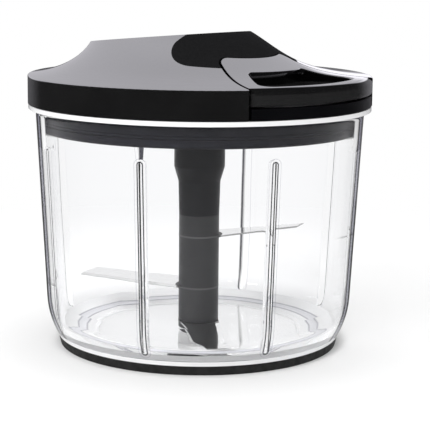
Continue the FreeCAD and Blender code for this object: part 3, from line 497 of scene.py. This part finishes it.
def varied(tree, low, high, size, stretch=(1, 1, 1)):
    """A number that wanders between low and high."""
    return smooth_step(tree, noise(tree, size, stretch), QUIET_NOISE, LOUD_NOISE, low, high)


print("noise is levelled off below", QUIET_NOISE, "and above", LOUD_NOISE)

# %% [markdown]
# Three short calls then vary a finish: its colour, its roughness, or the lie of its surface. Real
# bumps would need very many faces. The last call only changes how the light falls on the surface,
# which is enough for so fine a grain.

# %% Vary colour, roughness and surface


def vary_colour(material, dark, light, size, stretch=(1, 1, 1)):
    tree = material.node_tree
    steps = [(QUIET_NOISE, dark), (LOUD_NOISE, light)]
    feed(tree, socket(material, "Base Color"), colour_steps(tree, noise(tree, size, stretch), steps))


def vary_roughness(material, low, high, size, stretch=(1, 1, 1)):
    tree = material.node_tree
    feed(tree, socket(material, "Roughness"), varied(tree, low, high, size, stretch))


def roughen(material, size, depth, stretch=(1, 1, 1)):
    """Raise and lower the surface by about the given depth."""
    tree = material.node_tree
    bump = add(tree, "ShaderNodeBump", Strength=1.0, Distance=depth)
    feed(tree, bump.inputs["Height"], noise(tree, size, stretch))
    feed(tree, socket(material, "Normal"), bump.outputs["Normal"])


print("finish tools ready:", vary_colour.__name__, vary_roughness.__name__, roughen.__name__)

# %% [markdown]
# ## The lid's gloss
#
# The lid is a glossy black moulding. It is made here as black plastic under a clear lacquer, which
# mirror once each. The shelf round its edge sinks a little outwards. It could be tilted on the
# solid, but the solid is finished, so the shader does it: the height that the light feels falls
# off towards the edge. The handle's front edge can be rounded the same way.

# %% Lacquer the lid
SHELF_START = 0.054
SHELF_END = 0.085
SHELF_FALL = 0.0020
BROW_RADIUS = 0.0678


def tilt_shelf(material, brow_slope):
    """Shade the shelf as if it fell off a little more, and past the brow as if it were rounder."""
    tree = material.node_tree
    radius = height_and_radius(tree)[1]
    fall = smooth_step(tree, radius, SHELF_START, SHELF_END, 0.0, -SHELF_FALL)
    past = either(tree, compute(tree, "SUBTRACT", radius, BROW_RADIUS), 0.0)
    fall = compute(tree, "SUBTRACT", fall, both(tree, past, brow_slope))
    bump = add(tree, "ShaderNodeBump", Strength=1.0, Distance=1.0)
    feed(tree, bump.inputs["Height"], fall)
    feed(tree, socket(material, "Normal"), bump.outputs["Normal"])
    feed(tree, socket(material, "Coat Normal"), bump.outputs["Normal"])


def lacquered_black(name, brow_slope=0.0):
    material = base_finish(name, IOR=1.6, Coat_Weight=1.0, Coat_IOR=1.6, Coat_Roughness=0.02)
    vary_roughness(material, 0.05, 0.09, size=0.02)
    tilt_shelf(material, brow_slope)
    return material


def gloss_shade(tree):
    return varied(tree, 0.0055, 0.0075, size=0.015)


def lid_gloss():
    material = lacquered_black("lid_gloss")
    tree = material.node_tree
    feed(tree, socket(material, "Base Color"), gloss_shade(tree))
    return material


FINISHES = {}
FINISHES["lid_gloss"] = lid_gloss()
print("shelf shaded as if", SHELF_FALL * 1000, "mm lower at its edge")

# %% [markdown]
# ## The handle's brow and face
#
# The handle carries the lid's surface on, but its front looks different: a black rounded brow over
# a flat face that looks a softer black, because the two catch the light differently. It could be
# split into two parts, yet the real one is a single moulding as far as one can see. So one finish
# asks how high a point is, and gives the upright brow a painted shade and the upright part below
# it a painted light, a greyer colour.

# %% Lacquer the handle
BROW_SLOPE = 1.3
BROW_BOTTOM = 0.1115
# painted shade on the upright brow, painted light on the upright face below it
BROW_PAINTED_SHADE = -0.005
FACE_PAINTED_LIGHT = 0.009
NEARLY_UPRIGHT = 0.05
NO_LONGER_UPRIGHT = 0.15


def handle_gloss():
    material = lacquered_black("handle_gloss", BROW_SLOPE)
    tree = material.node_tree
    below_brow = less(tree, height_and_radius(tree)[0], BROW_BOTTOM)
    upright = smooth_step(tree, facing_up(tree), NEARLY_UPRIGHT, NO_LONGER_UPRIGHT, 1.0, 0.0)
    # painted shade darkens the upright brow, painted light makes the upright face below it greyer
    change = choose(tree, upright, 0.0, choose(tree, below_brow, BROW_PAINTED_SHADE, FACE_PAINTED_LIGHT))
    shade = compute(tree, "ADD", gloss_shade(tree), change)
    feed(tree, socket(material, "Base Color"), shade)
    return material


FINISHES["handle_gloss"] = handle_gloss()
print("handle: face below", BROW_BOTTOM * 1000, "mm, brow above")

# %% [markdown]
# ## The matte inlay
#
# The inlay on the lid's flank and top is a fine matte skin. It mirrors next to nothing, so its shine
# is turned almost off. A picture of a grain could be laid on it. Noise of a third of a millimetre
# gives such a grain without a seam.

# %% Matt the inlay


def black_matte():
    material = base_finish("black_matte", IOR=1.4, Specular_IOR_Level=0.005)
    vary_colour(material, dark=(0.0075, 0.0075, 0.008), light=(0.0105, 0.0105, 0.011), size=0.0008)
    vary_roughness(material, 0.6, 0.7, size=0.003)
    roughen(material, size=0.0003, depth=0.000006)
    return material


FINISHES["grip_matte"] = black_matte()
print("finishes so far:", len(FINISHES))

# %% [markdown]
# ## Satin plastics
#
# Column, plug, gasket, tray, spring case, handle base, bushes and reel are plain mouldings with a
# satin skin. Each could have its own recipe. But they differ in shade, roughness and shine only, so
# one recipe makes all of them. The column's head is darker than its sleeves, a painted shade for
# the shade of the lid above it, and the plug and its gasket are a bluish black.

# %% Mould the satin plastics
ROUGHNESS_SPREAD = 0.05


def satin_plastic(name, dark, light, rough, shine):
    material = base_finish(name, IOR=1.5, Specular_IOR_Level=shine)
    vary_colour(material, dark, light, size=0.01)
    vary_roughness(material, rough - ROUGHNESS_SPREAD, rough + ROUGHNESS_SPREAD, size=0.004)
    roughen(material, size=0.003, depth=0.000008)
    return material


# Each has its dark shade, its light shade, its roughness and its shine.
SATINS = {
    "column_grey": ((0.030, 0.030, 0.032), (0.036, 0.036, 0.038), 0.38, 0.2),
    # column_black: the head's darker colour is painted shade from the lid above it
    "column_black": ((0.010, 0.010, 0.012), (0.014, 0.014, 0.016), 0.4, 0.1),
    "plug_grey": ((0.014, 0.014, 0.018), (0.019, 0.019, 0.024), 0.42, 0.03),
    "gasket_rubber": ((0.014, 0.014, 0.018), (0.019, 0.019, 0.024), 0.6, 0.03),
    "carrier_black": ((0.002, 0.002, 0.003), (0.004, 0.004, 0.005), 0.35, 0.2),
    "nylon": ((0.74, 0.74, 0.70), (0.82, 0.82, 0.79), 0.45, 0.5),
}
for name, recipe in SATINS.items():
    FINISHES[name] = satin_plastic(name, *recipe)
print("satin plastics:", len(SATINS))

# %% [markdown]
# ## The rubber ring
#
# The ring under the bowl is soft black rubber. Seen from inside, through the clear foot, the real
# one nearly vanishes, because the foot throws the light about. Copying that with light alone takes
# very many rays. So the faces that only show through the foot are pale, and the outer side and the
# underside stay black.

# %% Mould the ring
RING_SIDE_RADIUS = 0.0575
RING_SIDE_BLEND = 0.0001
LEVEL_LIMIT = 0.7
PALE_RING = 0.75


def ring_rubber():
    material = base_finish("ring_rubber", IOR=1.5, Specular_IOR_Level=0.2)
    tree = material.node_tree
    up = facing_up(tree)
    upright = less(tree, compute(tree, "ABSOLUTE", up), LEVEL_LIMIT)
    radius = height_and_radius(tree)[1]
    outside = smooth_step(tree, radius, RING_SIDE_RADIUS, RING_SIDE_RADIUS + RING_SIDE_BLEND)
    black = either(tree, less(tree, up, -LEVEL_LIMIT), both(tree, upright, outside))
    black_shade = varied(tree, 0.012, 0.022, size=0.003)
    shade = choose(tree, black, PALE_RING, black_shade)
    feed(tree, socket(material, "Base Color"), shade)
    vary_roughness(material, 0.55, 0.72, size=0.002)
    roughen(material, size=0.0005, depth=0.00003)
    return material


FINISHES["base_rubber"] = ring_rubber()
print("finishes so far:", len(FINISHES))

# %% [markdown]
# ## Plain steel
#
# Pin, spindle, clip, screws, eyelet and spring are bare steel. A metal's colour tints its mirror
# image, so the shade says how bright it is and the roughness how blurred. Brush marks could be
# modelled, but they are too fine to see. On the pin and the spring a noise stretched along Z gives
# a hint of them.

# %% Polish the small steel parts


def steel(name, shade, low, high, stretch=(1, 1, 1)):
    material = base_finish(name, Metallic=1.0)
    dark = (shade * 0.95,) * 3
    light = (shade, shade, shade * 1.01)
    vary_colour(material, dark, light, size=0.002, stretch=stretch)
    vary_roughness(material, low, high, size=0.0008, stretch=stretch)
    return material


FINISHES["pin_steel"] = steel("pin_steel", 0.8, 0.12, 0.2, stretch=(1, 1, 8))
FINISHES["spring_steel"] = steel("spring_steel", 0.5, 0.2, 0.3, stretch=(1, 1, 6))
FINISHES["bright_steel"] = steel("bright_steel", 0.78, 0.15, 0.25)
print("finishes so far:", len(FINISHES))

# %% [markdown]
# ## The blades
#
# The blades are mirror steel. Their flats are bright and almost vanish in the white bowl, and their
# thin upright edges mirror the dark room and look darker, which draws their outline. So the edges
# get a painted shade, a darker colour than the flats. One even steel could do for both, but then the
# outline would be lost. The hub's cut edge, which shows as a fine ring between two sleeves, is dull
# and dark.

# %% Polish the blades
HUB_RADIUS = 0.0098
HUB_BLEND = 0.0002
EDGE_UP = 0.4
FLAT_UP = 0.7
EDGE_PAINTED_SHADE = 0.45
HUB_SHADE = 0.12
MIRROR_ROUGHNESS = 0.05
HUB_ROUGHNESS = 0.5


def blade_steel():
    material = base_finish("blade_steel", Metallic=1.0)
    tree = material.node_tree
    radius = height_and_radius(tree)[1]
    hub = smooth_step(tree, radius, HUB_RADIUS, HUB_RADIUS + HUB_BLEND, 1.0, 0.0)
    level = compute(tree, "ABSOLUTE", facing_up(tree))
    # painted shade: upright edges get only part of the flats' colour
    share = smooth_step(tree, level, EDGE_UP, FLAT_UP, EDGE_PAINTED_SHADE, 1.0)
    shade = both(tree, share, varied(tree, 0.80, 0.85, size=0.002))
    feed(tree, socket(material, "Base Color"), choose(tree, hub, shade, HUB_SHADE))
    feed(tree, socket(material, "Roughness"), choose(tree, hub, MIRROR_ROUGHNESS, HUB_ROUGHNESS))
    return material


FINISHES["blade_steel"] = blade_steel()
print("blade steel: upright edges at", EDGE_PAINTED_SHADE, "of the flats' shade")

# %% [markdown]
# ## The cord's braid
#
# The cord is a pale braid under two millimetres thick. Strands could be modelled one by one, but
# they are finer than a pixel here. Noise of about half a millimetre in colour and surface gives the
# same broken sheen.

# %% Braid the cord's surface


def braided_cord():
    material = base_finish("braided_cord")
    vary_colour(material, dark=(0.62, 0.62, 0.60), light=(0.86, 0.86, 0.84), size=0.0005)
    vary_roughness(material, 0.7, 0.9, size=0.0005)
    roughen(material, size=0.0004, depth=0.0001)
    return material


FINISHES["cord"] = braided_cord()
print("finishes so far:", len(FINISHES))

# %% [markdown]
# ## The clear bowl, step by step
#
# A clear thick wall looks white face on and dark where one looks along it, because there it bends
# in the dark sides of the room. A real studio puts black boards there for the purpose. Boards in
# the scene would also darken the lid, so the finish itself turns dark with the angle of view.
#
# Only the wall's outer skin gets such lines, or each would show twice. So the first thing to know
# is how deep a point lies under that skin: a leaning wall over a large round corner.

# %% Find the bowl's outer skin
WALL_RADIUS = 0.0645
WALL_RADIUS_HEIGHT = 0.0247
WALL_DRAFT = 0.052
CORNER_RADIUS = 0.037
CORNER_CENTRE_RADIUS = 0.0273
CORNER_CENTRE_HEIGHT = 0.0219
SKIN_DEPTH = 0.0008


def outer_skin_radius(tree, height):
    lean = both(tree, compute(tree, "SUBTRACT", height, WALL_RADIUS_HEIGHT), WALL_DRAFT)
    wall = compute(tree, "ADD", lean, WALL_RADIUS)
    drop = compute(tree, "SUBTRACT", height, CORNER_CENTRE_HEIGHT)
    square = compute(tree, "SUBTRACT", CORNER_RADIUS ** 2, both(tree, drop, drop))
    corner = compute(tree, "ADD", compute(tree, "SQRT", square), CORNER_CENTRE_RADIUS)
    return choose(tree, less(tree, height, CORNER_CENTRE_HEIGHT), wall, corner)


def depth_in_wall(tree, height, radius):
    return compute(tree, "SUBTRACT", outer_skin_radius(tree, height), radius)


print("outer skin: the first", SKIN_DEPTH * 1000, "mm of the wall")

# %% [markdown]
# ## Where the bowl is cloudy
#
# Two places on the real bowl look white and not clear: the flange under the lid, and the foot,
# which hides most of the black ring. There light bounces about between many faces. It could be
# traced with very many rays, but the finish makes these zones cloudy, which means mostly white
# plastic. The foot's zone takes in its low inner faces. A third zone is a painted light on the edge
# of the wall beside the plug, which turns milky white where the wall is seen edge on.

# %% Cloud the flange and the foot
FLANGE_BOTTOM = 0.0989
FLANGE_INNER = 0.0674
FOOT_TOP = 0.0058
FOOT_INNER = 0.0445
TRAPPED_BOTTOM = 0.0085
INNER_FOOT_TOP = TRAPPED_BOTTOM + 0.0001
PAINTED_EDGE_LIGHT_BOTTOM = 0.084
PAINTED_EDGE_LIGHT_START = 0.67
PAINTED_EDGE_LIGHT_END = 0.71
CLOUDY_TRANSMISSION = 0.1


def flange_and_foot(tree, height, radius, depth):
    flange = both(tree, more(tree, height, FLANGE_BOTTOM), more(tree, radius, FLANGE_INNER))
    inner_foot = both(tree, less(tree, height, INNER_FOOT_TOP), more(tree, depth, SKIN_DEPTH))
    low = either(tree, less(tree, height, FOOT_TOP), inner_foot)
    return either(tree, flange, both(tree, low, more(tree, radius, FOOT_INNER)))


def painted_edge_light(tree, height, grazing, skin):
    # painted light: beside the plug the wall's skin turns white where it is seen edge on
    beside_plug = both(tree, skin, more(tree, height, PAINTED_EDGE_LIGHT_BOTTOM))
    return both(tree, beside_plug, smooth_step(tree, grazing, PAINTED_EDGE_LIGHT_START, PAINTED_EDGE_LIGHT_END))


print("cloudy zones let", CLOUDY_TRANSMISSION, "of the light through")

# %% [markdown]
# ## The bowl's outlines
#
# Along each side of the real bowl runs a dark line, a paler one, and a dark one again. They could
# be left to the light that bends in the wall, but steps give control of their width and shade. The
# steps go with the angle of view, from 0 face on to 1 edge on. The mirror image on the skin fades
# towards the edge too, or it would wash the lines out.

# %% Choose the outlines
CLEAR = (0.992, 0.993, 0.996)
EDGE_STEPS = [
    (0.755, CLEAR),
    (0.785, (0.003, 0.003, 0.004)),
    (0.80, (0.02, 0.02, 0.03)),
    (0.825, (0.30, 0.30, 0.36)),
    (0.85, (0.25, 0.25, 0.31)),
    (0.87, (0.001, 0.001, 0.0015)),
]
SHINE_STEPS = [(0.40, (0.4, 0.4, 0.4)), (0.60, (0.15, 0.15, 0.15)), (0.88, (0.02, 0.02, 0.02))]
print("outlines begin at", EDGE_STEPS[0][0], "of the way from face on to edge on")

# %% [markdown]
# ## Lines beside the ribs
#
# Eight ribs stand inside the wall. Each bends the light into a dark line at either side of a white
# core. These too could be left to the light, but drawn lines are easier to match. The finish draws
# them on the skin in front of each rib: it turns the point's angle round the centre line into a
# distance from the nearest rib, with the ribs' ends rounded off.

# %% Draw the ribs' lines
RIB_COUNT = 8
RIB_ANGLE = math.radians(21.5)
RIB_BOTTOM = 0.009
RIB_TOP = 0.0836
RIB_LINES_REACH = 0.004
RIB_STEPS = [
    (0.18, CLEAR),
    (0.24, (0.003, 0.003, 0.005)),
    (0.32, (0.003, 0.003, 0.005)),
    (0.38, CLEAR),
    (0.54, CLEAR),
    (0.60, (0.5, 0.5, 0.55)),
    (0.66, CLEAR),
]


def rib_distance(tree, height, radius):
    """How far a point is from the middle line of the nearest rib."""
    place = place_on_part(tree)
    angle = compute(tree, "ARCTAN2", along(tree, place, (0, 1, 0)), along(tree, place, (1, 0, 0)))
    spacing = 2 * math.pi / RIB_COUNT
    turned = compute(tree, "SUBTRACT", angle, RIB_ANGLE - spacing / 2)
    apart = compute(tree, "SUBTRACT", compute(tree, "FLOORED_MODULO", turned, spacing), spacing / 2)
    across = both(tree, radius, compute(tree, "SINE", apart))
    over = compute(tree, "SUBTRACT", height, RIB_TOP)
    under = compute(tree, "SUBTRACT", RIB_BOTTOM, height)
    past = either(tree, either(tree, over, under), 0.0)
    square = compute(tree, "ADD", both(tree, across, across), both(tree, past, past))
    return compute(tree, "SQRT", square)


def rib_lines(tree, height, radius, skin):
    from_rib = compute(tree, "DIVIDE", rib_distance(tree, height, radius), RIB_LINES_REACH)
    return colour_steps(tree, choose(tree, skin, 1.0, from_rib), RIB_STEPS)


print("ribs:", RIB_COUNT, "with lines up to", RIB_LINES_REACH * 1000, "mm from their middle")

# %% [markdown]
# ## Rings on the bowl's floor
#
# The floor has a shallow dish and a round inner corner. Each shows as a thin grey ring, with a
# paler grey band between. Rings could be cut into the solid, but they are only bent light. So the
# finish draws them by the distance from the centre line.

# %% Draw the floor's rings
FLOOR_BOTTOM = 0.0037
FLOOR_TOP = 0.012
FLOOR_LINES_START = 0.045
FLOOR_LINES_END = 0.060
FLOOR_STEPS = [
    (0.16, WHITE),
    (0.21, (0.30, 0.30, 0.34)),
    (0.26, (0.80, 0.80, 0.84)),
    (0.62, (0.72, 0.72, 0.76)),
    (0.69, (0.30, 0.30, 0.34)),
    (0.76, WHITE),
]


def floor_rings(tree, height, radius, depth):
    at_floor = both(tree, more(tree, height, FLOOR_BOTTOM), less(tree, height, FLOOR_TOP))
    inside = both(tree, at_floor, more(tree, depth, SKIN_DEPTH))
    across = smooth_step(tree, radius, FLOOR_LINES_START, FLOOR_LINES_END)
    return colour_steps(tree, both(tree, across, inside), FLOOR_STEPS)


print("floor rings between", FLOOR_LINES_START * 1000, "and", FLOOR_LINES_END * 1000, "mm out")

# %% [markdown]
# ## Light that gets trapped
#
# Inside the thick wall, light can bounce from face to face again and again. A renderer stops after
# a number of bounces and leaves dark spots. More bounces would take longer. So a ray inside the
# plastic that meets a face at a slant goes straight out, everywhere above the foot.

# %% Let trapped light out
TRAPPED_START = 0.20
TRAPPED_END = 0.26


def opacity(tree, height, grazing):
    from_inside = tree.nodes.new("ShaderNodeNewGeometry").outputs["Backfacing"]
    over_foot = both(tree, from_inside, more(tree, height, TRAPPED_BOTTOM))
    return opposite(tree, both(tree, over_foot, smooth_step(tree, grazing, TRAPPED_START, TRAPPED_END)))


print("trapped light leaves above", TRAPPED_BOTTOM * 1000, "mm")

# %% [markdown]
# ## The clear plastic
#
# Now the pieces come together. The lines could be mixed one over the other, but light that passes
# two tints takes the colours of both, so they are multiplied. The roughness is nearly nothing and
# wanders a little, as on moulded plastic.

# %% Mix the clear plastic


def clear_plastic():
    material = base_finish("clear_plastic", IOR=1.5, Transmission_Weight=1.0)
    tree = material.node_tree
    height, radius = height_and_radius(tree)
    depth = depth_in_wall(tree, height, radius)
    grazing = add(tree, "ShaderNodeLayerWeight", Blend=0.5).outputs["Facing"]
    cloudy = flange_and_foot(tree, height, radius, depth)
    skin = both(tree, less(tree, depth, SKIN_DEPTH), opposite(tree, cloudy))
    lined = both(tree, grazing, skin)
    edges = colour_steps(tree, lined, EDGE_STEPS)
    ribs = rib_lines(tree, height, radius, skin)
    rings = floor_rings(tree, height, radius, depth)
    tint = combine(tree, "MULTIPLY", combine(tree, "MULTIPLY", edges, ribs), rings)
    feed(tree, socket(material, "Base Color"), tint)
    feed(tree, socket(material, "Specular Tint"), colour_steps(tree, lined, SHINE_STEPS))
    cloudy = either(tree, cloudy, painted_edge_light(tree, height, grazing, skin))
    feed(tree, socket(material, "Transmission Weight"), choose(tree, cloudy, 1.0, CLOUDY_TRANSMISSION))
    feed(tree, socket(material, "Alpha"), opacity(tree, height, grazing))
    vary_roughness(material, 0.0, 0.012, size=0.03)
    print("clear plastic:", len(tree.nodes), "nodes")
    return material


FINISHES["clear_plastic"] = clear_plastic()

# %% [markdown]
# ## Dress the parts
#
# Finishes could be given by hand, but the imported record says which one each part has. Every part
# takes it, and only the handle has one of its own. The bowl throws no shadow: real clear plastic
# hardly darkens the table, and its rendered shadow would be too dark.

# %% Give every part its finish
OWN_FINISH = {"handle_grip": "handle_gloss"}


def dress_parts():
    for entry in frame["record"]["subparts"]:
        part = nodes[entry["node"]]
        finish = OWN_FINISH.get(entry["node"], entry["material_slot"])
        part.data.materials.clear()
        part.data.materials.append(FINISHES[finish])


dress_parts()
nodes["bowl"].visible_shadow = False

# %% [markdown]
# ## The pull cord
#
# The cord winds round the reel in the lid, runs through an eyelet and ends in a knot inside the
# handle. At rest all of it is hidden, and it comes into view when the handle is pulled. Each
# stretch is a round tube swept along points. A bevelled curve would do as well, but a mesh can be
# stretched between two moving parts.

# %% Sweep a tube
CORD_RADIUS = 0.0009
CORD_SIDES = 14


def round_section(point, tangent, side):
    """Points of a circle round a path's point, square to the path."""
    other = tangent.cross(side)
    turns = [2 * math.pi * number / CORD_SIDES for number in range(CORD_SIDES)]
    return [point + (side * math.cos(turn) + other * math.sin(turn)) * CORD_RADIUS for turn in turns]


def cord_sections(points):
    """Sections along the points, turned as little as possible from one to the next."""
    side = (points[1] - points[0]).orthogonal().normalized()
    sections = []
    for number, point in enumerate(points):
        tangent = points[min(number + 1, len(points) - 1)] - points[max(number - 1, 0)]
        tangent.normalize()
        side = (side - tangent * side.dot(tangent)).normalized()
        sections.append(round_section(point, tangent, side))
    return sections


def sweep_cord(name, points):
    shape = bmesh.new()
    rings = [[shape.verts.new(spot) for spot in section] for section in cord_sections(points)]
    for first, second in zip(rings, rings[1:]):
        for number in range(CORD_SIDES):
            after = (number + 1) % CORD_SIDES
            side = shape.faces.new((first[number], first[after], second[after], second[number]))
            side.smooth = True
    shape.faces.new(rings[0][::-1])
    shape.faces.new(rings[-1])
    mesh = bpy.data.meshes.new(name)
    shape.to_mesh(mesh)
    shape.free()
    mesh.materials.append(FINISHES["cord"])
    cord = bpy.data.objects.new(name, mesh)
    bpy.context.scene.collection.objects.link(cord)
    length = sum((second - first).length for first, second in zip(points, points[1:]))
    print(name, "is", round(length * 1000), "mm long")
    return cord


print("cord:", round(CORD_RADIUS * 2000, 1), "mm thick, with", CORD_SIDES, "sides")

# %% [markdown]
# On the reel the cord lies in four turns. They could be four separate rings, but a real cord goes
# on without a break. So the winding is one helix. It takes the place of a plain ring, and turns
# with the reel.

# %% Wind the cord on its reel
CORD_TURNS = 4
TURN_POINTS = 40


def wind_cord():
    low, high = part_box("cord_winding")
    coil_radius = (high.x - low.x) / 2 - CORD_RADIUS
    bottom = low.z + CORD_RADIUS
    rise = high.z - low.z - 2 * CORD_RADIUS
    count = CORD_TURNS * TURN_POINTS
    points = []
    for number in range(count + 1):
        turn = 2 * math.pi * number / TURN_POINTS
        centre = Vector((math.cos(turn), math.sin(turn), 0)) * coil_radius
        points.append(centre + UP * (bottom + rise * number / count))
    winding = sweep_cord("wound_cord", points)
    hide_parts("cord_winding")
    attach(winding, "reel")


wind_cord()

# %% [markdown]
# The run goes from the reel to the eyelet and on to the handle's back. It could be two stiff pieces,
# one on the lid and one in the handle, but then a gap would open when the handle is pulled. So it
# is one piece, from the reel past the eyelet to the handle's end.

# %% Run the cord through the eyelet to the handle
RUN_POINTS = 12


def straight(start, end):
    return [start.lerp(end, number / RUN_POINTS) for number in range(RUN_POINTS + 1)]


def run_cord():
    lead_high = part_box("cord_lead")[1]
    tail_low, tail_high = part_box("cord_tail")
    eyelet_low, eyelet_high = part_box("cord_eyelet")
    level = (tail_low.z + tail_high.z) / 2
    leaves = Vector((lead_high.x - CORD_RADIUS, lead_high.y - CORD_RADIUS, level))
    mouth = Vector((0, eyelet_high.y, level))
    front = Vector((0, eyelet_low.y, level))
    back = Vector((0, tail_high.y, level))
    end = Vector((0, tail_low.y, level))
    points = straight(leaves, mouth)[:-1] + straight(mouth, front)[:-1]
    points += straight(front, back)[:-1] + straight(back, end)
    run = sweep_cord("pull_cord", points)
    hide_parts("cord_lead", "cord_tail")
    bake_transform(run)


run_cord()

# %% [markdown]
# The knot keeps the cord from slipping out of the handle. It could be copied from a real stopper
# knot, loop by loop. A trefoil is the simplest closed knot, and a formula gives it: the path goes
# round twice while it swings in and out three times.

# %% Tie the knot
KNOT_POINTS = 60


def tie_knot():
    low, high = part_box("cord_knot")
    centre = (low + high) / 2
    size = (high.z - low.z) / 2 - CORD_RADIUS
    points = []
    for number in range(KNOT_POINTS):
        turn = 2 * math.pi * number / (KNOT_POINTS - 1)
        spread = (2 + math.cos(3 * turn)) / 3
        swing = -math.sin(3 * turn) / 2
        across = Vector((math.cos(2 * turn) * spread, swing, math.sin(2 * turn) * spread))
        points.append(centre + across * size)
    knot = sweep_cord("stop_knot", points)
    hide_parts("cord_knot")
    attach(knot, "handle")


tie_knot()

# %% [markdown]
# ## Finish
#
# The last cell prints how many solid parts there are.

# %% Finish
print("sizes written for", len(nodes), "parts")
